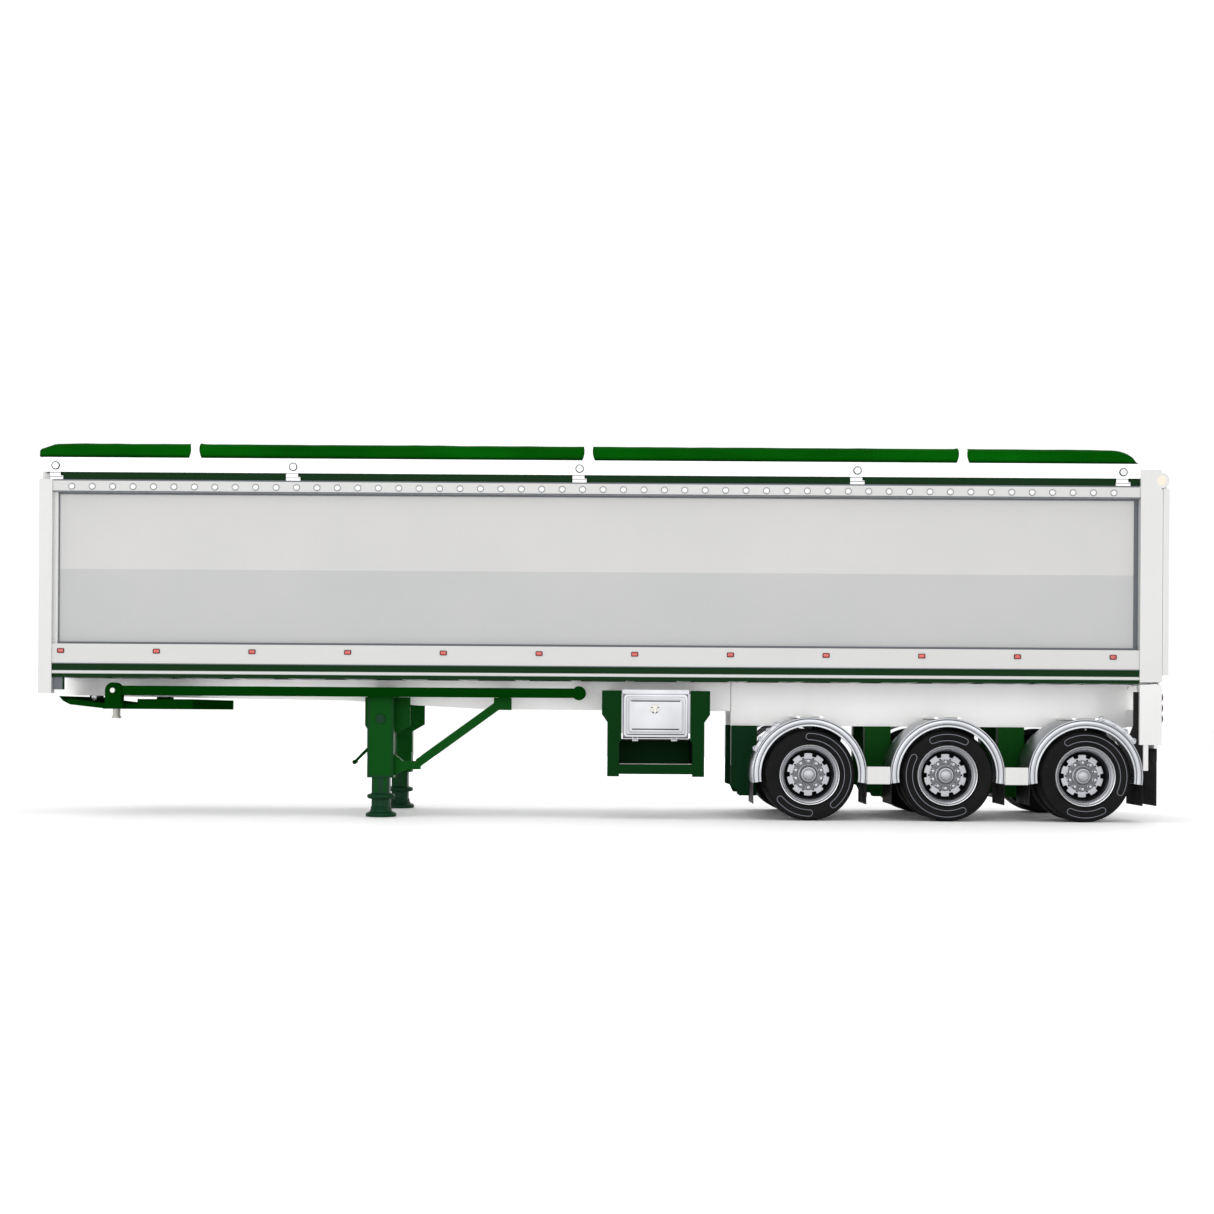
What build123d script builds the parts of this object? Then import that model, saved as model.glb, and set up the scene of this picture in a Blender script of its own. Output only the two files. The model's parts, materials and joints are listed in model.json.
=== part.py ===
from build123d import *
import os
from math import cos, pi, sin

# Tri-axle frameless tipping grain semi-trailer, in millimetres.
# Origin: middle of the ground footprint. +X runs to the tailgate, -X to the coupler, +Z up.
# Every piece is described on the +Y side and mirrored. The tool box and the crank are on -Y.

# ---- Overall ----
overall_length = 12770
overall_width = 2500
x_rear = overall_length / 2
x_front = -x_rear
half_width = overall_width / 2

# ---- Heights above the ground ----
sill_z = 1571
floor_z = 1723
floor_thickness = 10
panel_bottom_z = 1950
lower_panel_height = 852
upper_panel_height = 865
button_rail_height = 141
chord_height = 85
coaming_height = 164
tarp_edge_rise = 5
tarp_shoulder_rise = 158
tarp_crown_rise = 233
tarp_thickness = 12
panel_seam_z = panel_bottom_z + lower_panel_height
panel_top_z = panel_seam_z + upper_panel_height
button_rail_top_z = panel_top_z + button_rail_height
chord_top_z = button_rail_top_z + chord_height
coaming_top_z = chord_top_z + coaming_height

# ---- Tub: widths from the side face inwards ----
post_depth_y = 120
front_post_length = 147
rear_post_length = 250
rear_post_gap = 73
post_wall = 8
panel_thickness = 45
panel_skin = 4
rail_wall = 8
panel_face_inset = 100
rail_face_inset = 15
rub_rail_inset = 25
rub_bead_height = 38
rub_bead_depth = 15
chord_outer_inset = 45
chord_width = 85
coaming_outer_inset = 14
coaming_thickness = 56
coaming_skin = 4
post_inner = half_width - post_depth_y
panel_outer = half_width - panel_face_inset
panel_inner = panel_outer - panel_thickness
rail_outer = half_width - rail_face_inset
front_post_back_x = x_front + front_post_length
rear_post_back_x = x_rear - rear_post_gap
rear_post_front_x = rear_post_back_x - rear_post_length

# ---- Hoist well in the front wall ----
front_wall_thickness = 20
well_half_width = 350
well_depth = 360
front_wall_back_x = front_post_back_x - 2
front_wall_front_x = front_wall_back_x - front_wall_thickness
well_back_x = front_wall_back_x + well_depth

# ---- Frame rails, under the tub and on the bogie ----
frame_rail_width = 80
frame_rail_wall = 8
tyre_width = 275
dual_spacing = 330
tyre_face_inset = 15
tyre_outer_y = half_width - tyre_face_inset
inner_tyre_y = tyre_outer_y - tyre_width - dual_spacing
frame_rail_outer = inner_tyre_y - 130
frame_rail_inner = frame_rail_outer - frame_rail_width
tub_rail_front_x = x_front + 95
tub_rail_front_z = 1373
tub_rail_knee_z = 1336
tub_rail_haunch_z = 1280
tub_rail_deep_z = 1240
tub_rail_rear_z = 1235
bogie_length_to_rear = 4886
rail_end_gap = 9
bogie_front_x = x_rear - bogie_length_to_rear
tub_rail_rear_x = bogie_front_x - rail_end_gap
bogie_rear_x = x_rear - 255
bogie_rail_top_z = 1565
bogie_rail_bottom_z = 1067
rest_strip_gap = 0.3

# ---- Tipping hinge at the rear ----
tip_hinge_x = x_rear - 115
tip_hinge_z = 1500
tip_pin_radius = 35
tip_lug_radius = 60
running_gap = 0.4
fixed_pin_gap = 0.2

# ---- Axles and wheels ----
axle_spacing = 1560
middle_axle_x = x_rear - 2485
axle_z = 520
axle_x = [middle_axle_x - axle_spacing, middle_axle_x, middle_axle_x + axle_spacing]
tyre_radius = 520
tyre_bead_radius = 330
axle_beam_half = 65
arm_width = 50
hanger_plate = 12
hanger_front_reach = 841
hanger_back_reach = 540
arm_pivot_reach = 640
arm_pivot_z = 420
air_spring_reach = 330
air_spring_radius = 130

spindle_radius = 55
hub_radius = 130
rim_bore_radius = 316
hand_hole_count = 10
hand_hole_radius = 26
hand_hole_pitch_radius = 215
wheel_nut_count = 10
wheel_nut_pitch_radius = 155
disc_thickness = 14
disc_outer_y = tyre_outer_y - tyre_width - (dual_spacing - tyre_width) / 2 + disc_thickness
hub_end_y = tyre_outer_y - 105
spindle_end_y = hub_end_y - 12

# ---- Mudguards and flaps ----
guard_radius = 650
guard_sheet = 10
guard_flange_depth = 102
guard_end_z = 427
guard_inner_y = inner_tyre_y + 10
flap_thickness = 8
flap_bottom_z = 190

# ---- Coupler, draft arms and hoist ----
arm_front_pin_x = x_front + 839
arm_pin_z = 1425
arm_pin_radius = 40
draft_arm_width = 80
draft_arm_height = 108
coupler_bottom_z = 1215
coupler_skin = 12
coupler_flange_height = 60
coupler_rear_x = x_front + 1715
coupler_half_width = 1100
kingpin_x = x_front + 545
kingpin_neck_radius = 44.45
kingpin_neck_length = 84
kingpin_flange_radius = 57.15
kingpin_flange_thickness = 28
hoist_x = x_front + 305
hoist_trunnion_z = 1500
hoist_foot_z = 1345
barrel_radius = 150
barrel_length = 2290
stage_wall = 17.6
stage_fit = 0.4
stage_radii = [130, 112, 94, 76]

# ---- Landing legs ----
leg_x = x_front + 0.4877 * (bogie_front_x - x_front)
leg_y = 935
leg_length_x = 300
leg_width_y = 220
leg_top_z = 1370
leg_housing_bottom_z = 450
leg_housing_wall = 8
leg_guide_height = 80
inner_leg_length_x = 200
inner_leg_width_y = 196
inner_leg_gap = 0.4
inner_leg_wall = 12
crank_x = leg_x - 50
crank_z = 900
crank_radius = 20

# ---- Tailgate ----
gate_pin_x = x_rear - 89
gate_pin_z = 3870
gate_pin_radius = 30
gate_ear_radius = 88
gate_ear_thickness = 60
gate_ear_bottom_z = 3770
gate_sheet_x = rear_post_back_x + 4
gate_sheet = 20
gate_bottom_z = 1672
gate_top_z = 3780
hook_shaft_x = rear_post_back_x - 132
hook_shaft_z = 1600

# ---- Tool box ----
cradle_left_x = bogie_front_x - 1512
cradle_length = 1225
arm_rear_pin_x = cradle_left_x - 262
tool_box_left = cradle_left_x + 239
tool_box_right = cradle_left_x + 979
tool_box_bottom_z = 917
tool_box_top_z = 1425
tool_box_front_y = half_width - 60
tool_box_back_y = half_width - 560
tool_box_hinge_x = [tool_box_left + 140, tool_box_right - 160]
tool_box_hinge_y = tool_box_front_y + 10
tool_box_hinge_z = tool_box_bottom_z - 20
latch_offset_x = -8
latch_z = 1253


# ---- Plain shapes ----
def block(x0, x1, y0, y1, z0, z1):
    box = Box(x1 - x0, y1 - y0, z1 - z0)
    return Pos((x0 + x1) / 2, (y0 + y1) / 2, (z0 + z1) / 2) * box


def rod_y(x, z, radius, y0, y1):
    rod = Rot(90, 0, 0) * Cylinder(radius, y1 - y0)
    return Pos(x, (y0 + y1) / 2, z) * rod


def rod_x(y, z, radius, x0, x1):
    rod = Rot(0, 90, 0) * Cylinder(radius, x1 - x0)
    return Pos((x0 + x1) / 2, y, z) * rod


def rod_z(x, y, radius, z0, z1):
    return Pos(x, y, (z0 + z1) / 2) * Cylinder(radius, z1 - z0)


def tube_y(x, z, outer, inner, y0, y1):
    return rod_y(x, z, outer, y0, y1) - rod_y(x, z, inner, y0 - 1, y1 + 1)


def tube_z(x, y, outer, inner, z0, z1):
    return rod_z(x, y, outer, z0, z1) - rod_z(x, y, inner, z0 - 1, z1 + 1)


def hollow_bar(x0, x1, y0, y1, z0, z1, wall):
    # A rectangular tube along X, open at both ends.
    inside = block(x0 - 1, x1 + 1, y0 + wall, y1 - wall, z0 + wall, z1 - wall)
    return block(x0, x1, y0, y1, z0, z1) - inside


def plate_xz(points, y0, y1):
    outline = Polyline(*[(x, y0, z) for x, z in points], close=True)
    return extrude(make_face(outline), amount=y1 - y0, dir=(0, 1, 0))


def plate_yz(points, x0, x1):
    outline = Polyline(*[(x0, y, z) for y, z in points], close=True)
    return extrude(make_face(outline), amount=x1 - x0, dir=(1, 0, 0))


def bar_xz(start, end, half_height, y0, y1):
    # A straight flat bar between two points of the XZ plane.
    run_x = end[0] - start[0]
    run_z = end[1] - start[1]
    length = (run_x ** 2 + run_z ** 2) ** 0.5
    side_x = -run_z / length * half_height
    side_z = run_x / length * half_height
    corners = [
        (start[0] + side_x, start[1] + side_z),
        (end[0] + side_x, end[1] + side_z),
        (end[0] - side_x, end[1] - side_z),
        (start[0] - side_x, start[1] - side_z),
    ]
    return plate_xz(corners, y0, y1)


def near(shape):
    return mirror(shape, about=Plane.XZ)


def pair(*shapes):
    result = []
    for shape in shapes:
        result.append(shape)
        result.append(near(shape))
    return result


def save(node, pieces):
    solids = []
    for piece in pieces:
        solids.extend(piece.solids())
    os.makedirs("parts", exist_ok=True)
    export_step(Compound(children=solids), "parts/" + node + ".step")


# ---- Tub: walls and floor ----
def front_wall():
    side = block(front_wall_front_x, front_wall_back_x, well_half_width - front_wall_thickness,
                 post_inner, sill_z, chord_top_z)
    cheek = block(front_wall_back_x, well_back_x - front_wall_thickness,
                  well_half_width - front_wall_thickness, well_half_width, sill_z, chord_top_z)
    back = block(well_back_x - front_wall_thickness, well_back_x,
                 -well_half_width, well_half_width, sill_z, chord_top_z)
    header = block(x_front, front_wall_front_x, -post_inner, post_inner, button_rail_top_z, chord_top_z)
    save("front_wall", pair(side, cheek) + [back, header] + hoist_mount())


def floor_and_bearers():
    main_floor = block(well_back_x, rear_post_back_x, -panel_inner, panel_inner,
                       floor_z, floor_z + floor_thickness)
    front_floor = block(front_wall_back_x, well_back_x, well_half_width, panel_inner,
                        floor_z, floor_z + floor_thickness)
    bearer_width = 80
    bearer_wall = 6
    bearer_end_y = half_width - 125
    bearer_pitch = 645
    pieces = [main_floor] + pair(front_floor)
    rear_bearer_x = rear_post_back_x - bearer_width
    last_bearer_x = rear_bearer_x - 150
    count = int((last_bearer_x - well_back_x) / bearer_pitch)
    starts = [last_bearer_x - bearer_pitch * step for step in range(1, count + 1)]
    for start in starts + [rear_bearer_x]:
        outside = block(start, start + bearer_width, -bearer_end_y, bearer_end_y, sill_z, floor_z)
        inside = block(start + bearer_wall, start + bearer_width - bearer_wall,
                       -bearer_end_y, bearer_end_y, sill_z + bearer_wall, floor_z - bearer_wall)
        pieces.append(outside - inside)
    front_bearer = block(front_wall_back_x, front_wall_back_x + bearer_width,
                         well_half_width, bearer_end_y, sill_z, floor_z)
    save("floor_and_bearers", pieces + pair(front_bearer) + tailgate_hook_bearings())


def side_panels():
    lower = hollow_bar(front_post_back_x, rear_post_front_x, panel_inner, panel_outer,
                       panel_bottom_z, panel_seam_z, panel_skin)
    upper = hollow_bar(front_post_back_x, rear_post_front_x, panel_inner, panel_outer,
                       panel_seam_z, panel_top_z, panel_skin)
    save("side_panels_lower", pair(lower))
    save("side_panels_upper", pair(upper))


def side_rails():
    bottom = hollow_bar(front_post_back_x, rear_post_front_x, panel_inner, rail_outer,
                        floor_z, panel_bottom_z, rail_wall)
    save("bottom_rails", pair(bottom))

    rub_rail_y = half_width - rub_rail_inset
    rub = hollow_bar(front_post_back_x, rear_post_front_x, half_width - 125, rub_rail_y,
                     sill_z, floor_z, rail_wall)
    chord_outer_y = half_width - chord_outer_inset
    chord = hollow_bar(front_post_back_x, rear_post_front_x, chord_outer_y - chord_width, chord_outer_y,
                       button_rail_top_z, chord_top_z, rail_wall)
    save("rub_rails_and_top_chords", pair(rub, chord))

    bead_z = sill_z + 60
    half_round = rod_x(rub_rail_y, bead_z, rub_bead_height / 2, front_post_back_x, rear_post_front_x)
    bead = half_round & block(front_post_back_x, rear_post_front_x, rub_rail_y,
                              rub_rail_y + rub_bead_depth, sill_z, floor_z)
    save("rub_rail_beads", pair(bead))

    rail = hollow_bar(front_post_back_x, rear_post_front_x, panel_inner, rail_outer,
                      panel_top_z, button_rail_top_z, rail_wall)
    save("button_rails", pair(rail))


def tie_down_buttons():
    button_count = 52
    first_x = front_post_back_x + 216
    last_x = rear_post_front_x - 302
    button_radius = 38
    button_rise = 10
    button_z = panel_top_z + 62
    pitch = (last_x - first_x) / (button_count - 1)
    pieces = []
    for index in range(button_count):
        button = rod_y(first_x + pitch * index, button_z, button_radius, rail_outer, rail_outer + button_rise)
        pieces.extend(pair(button))
    save("tie_down_buttons", pieces)


def coaming():
    board_outer = half_width - coaming_outer_inset
    board_inner = board_outer - coaming_thickness
    board = hollow_bar(x_front + 30, rear_post_front_x, board_inner, board_outer,
                       chord_top_z, coaming_top_z, coaming_skin)
    front_board = block(x_front + 30, x_front + 50, -board_inner, board_inner,
                        chord_top_z, coaming_top_z)
    rear_board = block(rear_post_front_x - 20, rear_post_front_x, -board_inner, board_inner,
                       chord_top_z, coaming_top_z)
    bow_count = 9
    bow_radius = 20
    first_bow_x = x_front + 500
    last_bow_x = rear_post_front_x - 300
    bow_pitch = (last_bow_x - first_bow_x) / (bow_count - 1)
    bow_z = coaming_top_z - bow_radius
    bows = [tube_y(first_bow_x + bow_pitch * index, bow_z, bow_radius, bow_radius - 4,
                   -board_inner, board_inner) for index in range(bow_count)]
    save("coaming_boards_and_bows", pair(board) + [front_board, rear_board] + bows)

    chord_outer_y = half_width - chord_outer_inset
    bolt_x = [x_front + 181, x_front + 2865, x_front + 6103, x_front + 9244, x_front + 12250]
    bolt_radius = 42
    bolt_z = chord_top_z + 70
    wide_half = 80
    narrow_half = 38
    wide_top_z = button_rail_top_z + 42
    pieces = tarp_straps()
    for x in bolt_x:
        left = max(x - wide_half, front_post_back_x)
        right = min(x + wide_half, rear_post_front_x)
        outline = [
            (left, button_rail_top_z), (right, button_rail_top_z), (right, wide_top_z),
            (x + narrow_half, wide_top_z), (x + narrow_half, chord_top_z),
            (max(x - narrow_half, left), chord_top_z), (max(x - narrow_half, left), wide_top_z),
            (left, wide_top_z),
        ]
        if x - narrow_half <= left:
            outline = outline[:6]
        bracket = plate_xz(outline, chord_outer_y, chord_outer_y + 30)
        bolt = rod_y(x, bolt_z, bolt_radius, board_outer, half_width)
        pieces.extend(pair(bracket, bolt))
    save("tarp_straps_and_clamps", pieces)


def marker_lamps():
    lamp_count = 12
    first_x = front_post_back_x + 102
    last_x = rear_post_front_x - 299
    lamp_z = floor_z + 147
    pitch = (last_x - first_x) / (lamp_count - 1)
    pieces = []
    for index in range(lamp_count):
        x = first_x + pitch * index
        lamp = block(x - 40, x + 40, rail_outer, rail_outer + 14, lamp_z - 27, lamp_z + 27)
        pieces.extend(pair(lamp))
    save("marker_lamps", pieces)


def corner_posts():
    front = block(x_front, front_post_back_x, post_inner, half_width, 1389, button_rail_top_z)
    front = front - block(x_front + post_wall, front_post_back_x - post_wall, post_inner + post_wall,
                          half_width - post_wall, 1388, button_rail_top_z + 1)
    reveal = block(front_post_back_x, front_post_back_x + 50, panel_outer, panel_outer + 40,
                   panel_bottom_z, panel_top_z)
    rear = block(rear_post_front_x, rear_post_back_x, post_inner, half_width, 1590, gate_ear_bottom_z)
    rear = rear - block(rear_post_front_x + post_wall, rear_post_back_x - post_wall, post_inner + post_wall,
                        half_width - post_wall, 1589, gate_ear_bottom_z - post_wall)
    ear_inner = half_width - gate_ear_thickness
    ear = block(rear_post_front_x, gate_pin_x, ear_inner, half_width, gate_ear_bottom_z, 3990)
    ear = ear + rod_y(gate_pin_x, gate_pin_z, gate_ear_radius, ear_inner, half_width)
    ear = ear - rod_y(gate_pin_x, gate_pin_z, gate_pin_radius + fixed_pin_gap, ear_inner - 1, half_width + 1)
    pin = rod_y(gate_pin_x, gate_pin_z, gate_pin_radius, post_inner, half_width)
    save("corner_posts", pair(front, reveal, rear, ear, pin))


def tarp_body(inset, base_drop):
    side_y = half_width - coaming_outer_inset - inset
    edge_z = coaming_top_z + tarp_edge_rise
    shoulder_z = coaming_top_z + tarp_shoulder_rise - inset
    crown_z = coaming_top_z + tarp_crown_rise - inset
    front_x = x_front + inset
    rear_x = x_rear - 355 - inset
    slope_length = 200
    base_z = edge_z - base_drop
    outline = [
        (front_x, base_z), (rear_x, base_z), (rear_x, edge_z), (rear_x - 25, edge_z + 60),
        (rear_x - slope_length, shoulder_z), (front_x + slope_length, shoulder_z),
        (front_x + 40, edge_z + 100), (front_x, edge_z),
    ]
    if base_drop == 0:
        outline = outline[:2] + outline[3:7]
    side_slab = plate_xz(outline, -side_y, side_y)
    cross = [(-side_y, base_z), (side_y, base_z), (side_y - 12, shoulder_z - 40),
             (side_y - 50, shoulder_z - 6), (-side_y + 50, shoulder_z - 6), (-side_y + 12, shoulder_z - 40)]
    body = side_slab & plate_yz(cross, front_x, rear_x)
    crown = [(-side_y + 50, shoulder_z - 6), (side_y - 50, shoulder_z - 6),
             (600, crown_z - 25), (250, crown_z), (-250, crown_z), (-600, crown_z - 25)]
    return body + plate_yz(crown, front_x + slope_length, rear_x - slope_length)


def tarp():
    save("tarp", [tarp_body(0, 0) - tarp_body(tarp_thickness, 20)])


def tarp_straps():
    board_outer = half_width - coaming_outer_inset
    strap_x = [x_front + 1758, x_front + 6204, x_front + 10436]
    strap_half = 40
    strap_proud = 6
    top_z = coaming_top_z + tarp_shoulder_rise - 40
    pieces = []
    for x in strap_x:
        strap = block(x - strap_half, x + strap_half, board_outer, board_outer + strap_proud,
                      coaming_top_z - 60, top_z)
        pieces.extend(pair(strap))
    return pieces


# ---- Tub: underframe ----
def tub_rails():
    outline = [
        (tub_rail_front_x, sill_z), (tub_rail_front_x, tub_rail_front_z), (x_front + 3300, tub_rail_knee_z),
        (x_front + 4181, tub_rail_haunch_z), (x_front + 4973, tub_rail_deep_z),
        (tub_rail_rear_x, tub_rail_rear_z), (tub_rail_rear_x, sill_z),
    ]
    wall = frame_rail_wall
    hollow = [(x, z - wall if z == sill_z else z + wall) for x, z in outline]
    hollow[0] = (tub_rail_front_x - 1, sill_z - wall)
    hollow[1] = (tub_rail_front_x - 1, tub_rail_front_z + wall)
    hollow[-2] = (tub_rail_rear_x + 1, tub_rail_rear_z + wall)
    hollow[-1] = (tub_rail_rear_x + 1, sill_z - wall)
    rail = plate_xz(outline, frame_rail_inner, frame_rail_outer)
    rail = rail - plate_xz(hollow, frame_rail_inner + wall, frame_rail_outer - wall)
    lug_inner = frame_rail_inner - 80
    lug_outer = frame_rail_outer - 60
    rear_bearer_x = rear_post_back_x - 80
    lug = plate_xz([(rear_bearer_x, sill_z), (rear_bearer_x, tip_hinge_z + 40),
                    (tip_hinge_x - 40, tip_hinge_z), (tip_hinge_x + 40, tip_hinge_z),
                    (rear_post_back_x, sill_z)], lug_inner, lug_outer)
    lug = lug + rod_y(tip_hinge_x, tip_hinge_z, tip_lug_radius, lug_inner, lug_outer)
    lug = lug - rod_y(tip_hinge_x, tip_hinge_z, tip_pin_radius + running_gap, lug_inner - 1, lug_outer + 1)
    save("tub_rails", pair(rail, lug))


def hoist_mount():
    beam_outer = well_half_width - front_wall_thickness
    beam_inner = beam_outer - 80
    bracket_inner = beam_inner + 10
    bracket_outer = beam_outer - 10
    beam = block(front_wall_back_x, well_back_x - front_wall_thickness, beam_inner, beam_outer,
                 sill_z, floor_z)
    bracket = plate_xz([(hoist_x - 110, sill_z), (hoist_x - 60, hoist_trunnion_z - 50),
                        (hoist_x + 60, hoist_trunnion_z - 50), (hoist_x + 110, sill_z)],
                       bracket_inner, bracket_outer)
    bore = rod_y(hoist_x, hoist_trunnion_z, 35 + running_gap, bracket_inner - 1, bracket_outer + 1)
    return pair(beam, bracket - bore)


def draft_arm_shaft():
    shaft_radius = 60
    journal_start = half_width - 140
    journal_end = half_width - 45
    washer_start = half_width - 50 + running_gap
    middle = rod_y(arm_rear_pin_x, arm_pin_z, shaft_radius, -frame_rail_inner, frame_rail_inner)
    outer = rod_y(arm_rear_pin_x, arm_pin_z, shaft_radius, frame_rail_outer, journal_start)
    journal = rod_y(arm_rear_pin_x, arm_pin_z, arm_pin_radius, journal_start, journal_end)
    washer = tube_y(arm_rear_pin_x, arm_pin_z, shaft_radius, arm_pin_radius, washer_start, journal_end)
    save("draft_arm_shaft", [middle] + pair(outer + journal, washer))


# ---- Landing legs ----
def landing_housings():
    half_x = leg_length_x / 2
    half_y = leg_width_y / 2
    cavity_x = inner_leg_length_x / 2
    cavity_y = inner_leg_width_y / 2
    housing = block(leg_x - half_x, leg_x + half_x, leg_y - half_y, leg_y + half_y,
                    leg_housing_bottom_z, leg_top_z)
    guide = block(leg_x - cavity_x, leg_x + cavity_x, leg_y - cavity_y, leg_y + cavity_y,
                  leg_housing_bottom_z - 1, leg_housing_bottom_z + leg_guide_height)
    hollow = block(leg_x - half_x + leg_housing_wall, leg_x + half_x - leg_housing_wall,
                   leg_y - cavity_y, leg_y + cavity_y,
                   leg_housing_bottom_z + leg_guide_height, leg_top_z - leg_housing_wall)
    housing = housing - guide - hollow
    plate = plate_xz([
        (leg_x - 205, leg_top_z), (leg_x + 315, leg_top_z), (leg_x + 315, 1045), (leg_x + 160, 955),
        (leg_x + 160, 700), (leg_x - 150, 700), (leg_x - 150, 955), (leg_x - 205, 1045),
    ], leg_y - half_y - 12, leg_y - half_y)
    outrigger = block(leg_x - 150, leg_x + 130, frame_rail_outer, leg_y + half_y, leg_top_z, leg_top_z + 110)
    boss = rod_y(leg_x, 1120, 48, leg_y + half_y, leg_y + half_y + 12)
    cross_tube = block(leg_x - 40, leg_x + 40, -(leg_y - half_y), leg_y - half_y, 480, 560)
    shaft_bearing_y = leg_y - half_y - 12 - 25
    bearing = tube_y(crank_x, crank_z, 40, crank_radius + running_gap, shaft_bearing_y,
                     leg_y - half_y - 12)
    save("landing_leg_housings",
         pair(housing, plate, outrigger, boss, bearing) + [cross_tube] + landing_brace())


def landing_brace():
    inner_y = leg_y - 40
    outer_y = leg_y + 40
    rear_face_x = leg_x + leg_length_x / 2
    top_x = leg_x + 0.593 * (arm_rear_pin_x - leg_x)
    lug = plate_xz([(rear_face_x, 720), (rear_face_x, 470), (rear_face_x + 130, 540),
                    (rear_face_x + 300, 545), (rear_face_x + 300, 590), (rear_face_x + 240, 640),
                    (rear_face_x + 100, 640)], inner_y, outer_y)
    foot = (rear_face_x + 270, 615)
    head = (top_x, 1290)
    brace = bar_xz(foot, head, 48, inner_y, outer_y)
    bracket_left = top_x - 55
    bracket_right = top_x + 145
    top_bracket = block(bracket_left, bracket_right, inner_y, outer_y, 1230, leg_top_z)
    lug_and_brace = lug + (brace - block(top_x, top_x + 400, inner_y - 1, outer_y + 1, 1000, 1600))
    outrigger = block(top_x - 5, top_x + 105, frame_rail_outer, outer_y, leg_top_z, leg_top_z + 90)
    return [near(lug_and_brace + top_bracket), near(outrigger)]


def landing_leg(side_name, turn_over):
    half_x = inner_leg_length_x / 2 - inner_leg_gap
    half_y = inner_leg_width_y / 2 - inner_leg_gap
    foot_radius = 177
    leg = block(leg_x - half_x, leg_x + half_x, leg_y - half_y, leg_y + half_y, 95, 940)
    leg = leg - block(leg_x - half_x + inner_leg_wall, leg_x + half_x - inner_leg_wall,
                      leg_y - half_y + inner_leg_wall, leg_y + half_y - inner_leg_wall, 105, 941)
    upper_flange = rod_z(leg_x, leg_y, 160, 215, 270) - block(
        leg_x - half_x, leg_x + half_x, leg_y - half_y, leg_y + half_y, 200, 280)
    neck = rod_z(leg_x, leg_y, 130, 60, 95)
    foot = rod_z(leg_x, leg_y, foot_radius, 0, 60)
    save("landing_leg_" + side_name, [turn_over(leg), turn_over(upper_flange), turn_over(neck + foot)])


def landing_crank():
    reach = 400
    lean = reach / 2 ** 0.5
    shaft_end = leg_y - leg_width_y / 2 - 12
    arm_inner = 740
    arm_outer = 770
    shaft = rod_y(crank_x, crank_z, crank_radius, -shaft_end, shaft_end)
    hub = tube_y(crank_x, crank_z, 38, crank_radius, arm_inner, arm_outer)
    arm = bar_xz((crank_x, crank_z), (crank_x - lean, crank_z - lean), 16, arm_inner, arm_outer)
    arm = arm + rod_y(crank_x - lean, crank_z - lean, 26, arm_inner, arm_outer)
    arm = arm - rod_y(crank_x, crank_z, 38, arm_inner - 1, arm_outer + 1)
    grip = rod_y(crank_x - lean, crank_z - lean, 18, arm_inner - 140, arm_inner)
    save("landing_crank", [shaft, near(hub + arm + grip)])


# ---- Tool box and its cradle ----
def tool_box_cradle():
    left = cradle_left_x
    right = cradle_left_x + cradle_length
    front_y = half_width - 40
    back_y = half_width - 650
    post_bottom_z = 486
    head_top_z = 1460
    head_bottom_z = 1190
    post_width = 135
    head_extra = 63
    step = head_extra + post_width
    outline = [
        (0, head_top_z), (0, head_bottom_z), (head_extra, head_bottom_z - 90),
        (head_extra, post_bottom_z), (step, post_bottom_z), (step, tool_box_hinge_z - 30),
        (step + 24, tool_box_hinge_z), (step + 24, head_top_z),
    ]
    left_post = plate_xz([(left + x, z) for x, z in outline], front_y - 60, front_y)
    right_post = plate_xz([(right - x, z) for x, z in outline], front_y - 60, front_y)
    inner_left = left + head_extra + post_width
    inner_right = right - head_extra - post_width
    front_beam = block(inner_left, inner_right, front_y - 60, front_y, 514, 620)
    side_y0 = frame_rail_outer
    left_cheek = block(left + head_extra, left + head_extra + 60, side_y0, front_y - 60, 1300, head_top_z)
    right_cheek = block(right - head_extra - 60, right - head_extra, side_y0, front_y - 60, 1300, head_top_z)
    left_side = block(left + head_extra, left + head_extra + 10, back_y, front_y - 60, post_bottom_z, 1300)
    right_side = block(right - head_extra - 10, right - head_extra, back_y, front_y - 60, post_bottom_z, 1300)
    tray = block(left + head_extra + 10, right - head_extra - 10, back_y, front_y - 60, 600, 620)
    back = block(left + head_extra + 10, right - head_extra - 10, back_y, back_y + 6, 620, 900)
    save("tool_box_cradle", [near(piece) for piece in
                             [left_post, right_post, front_beam, left_cheek, right_cheek,
                              left_side, right_side, tray, back]])


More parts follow.
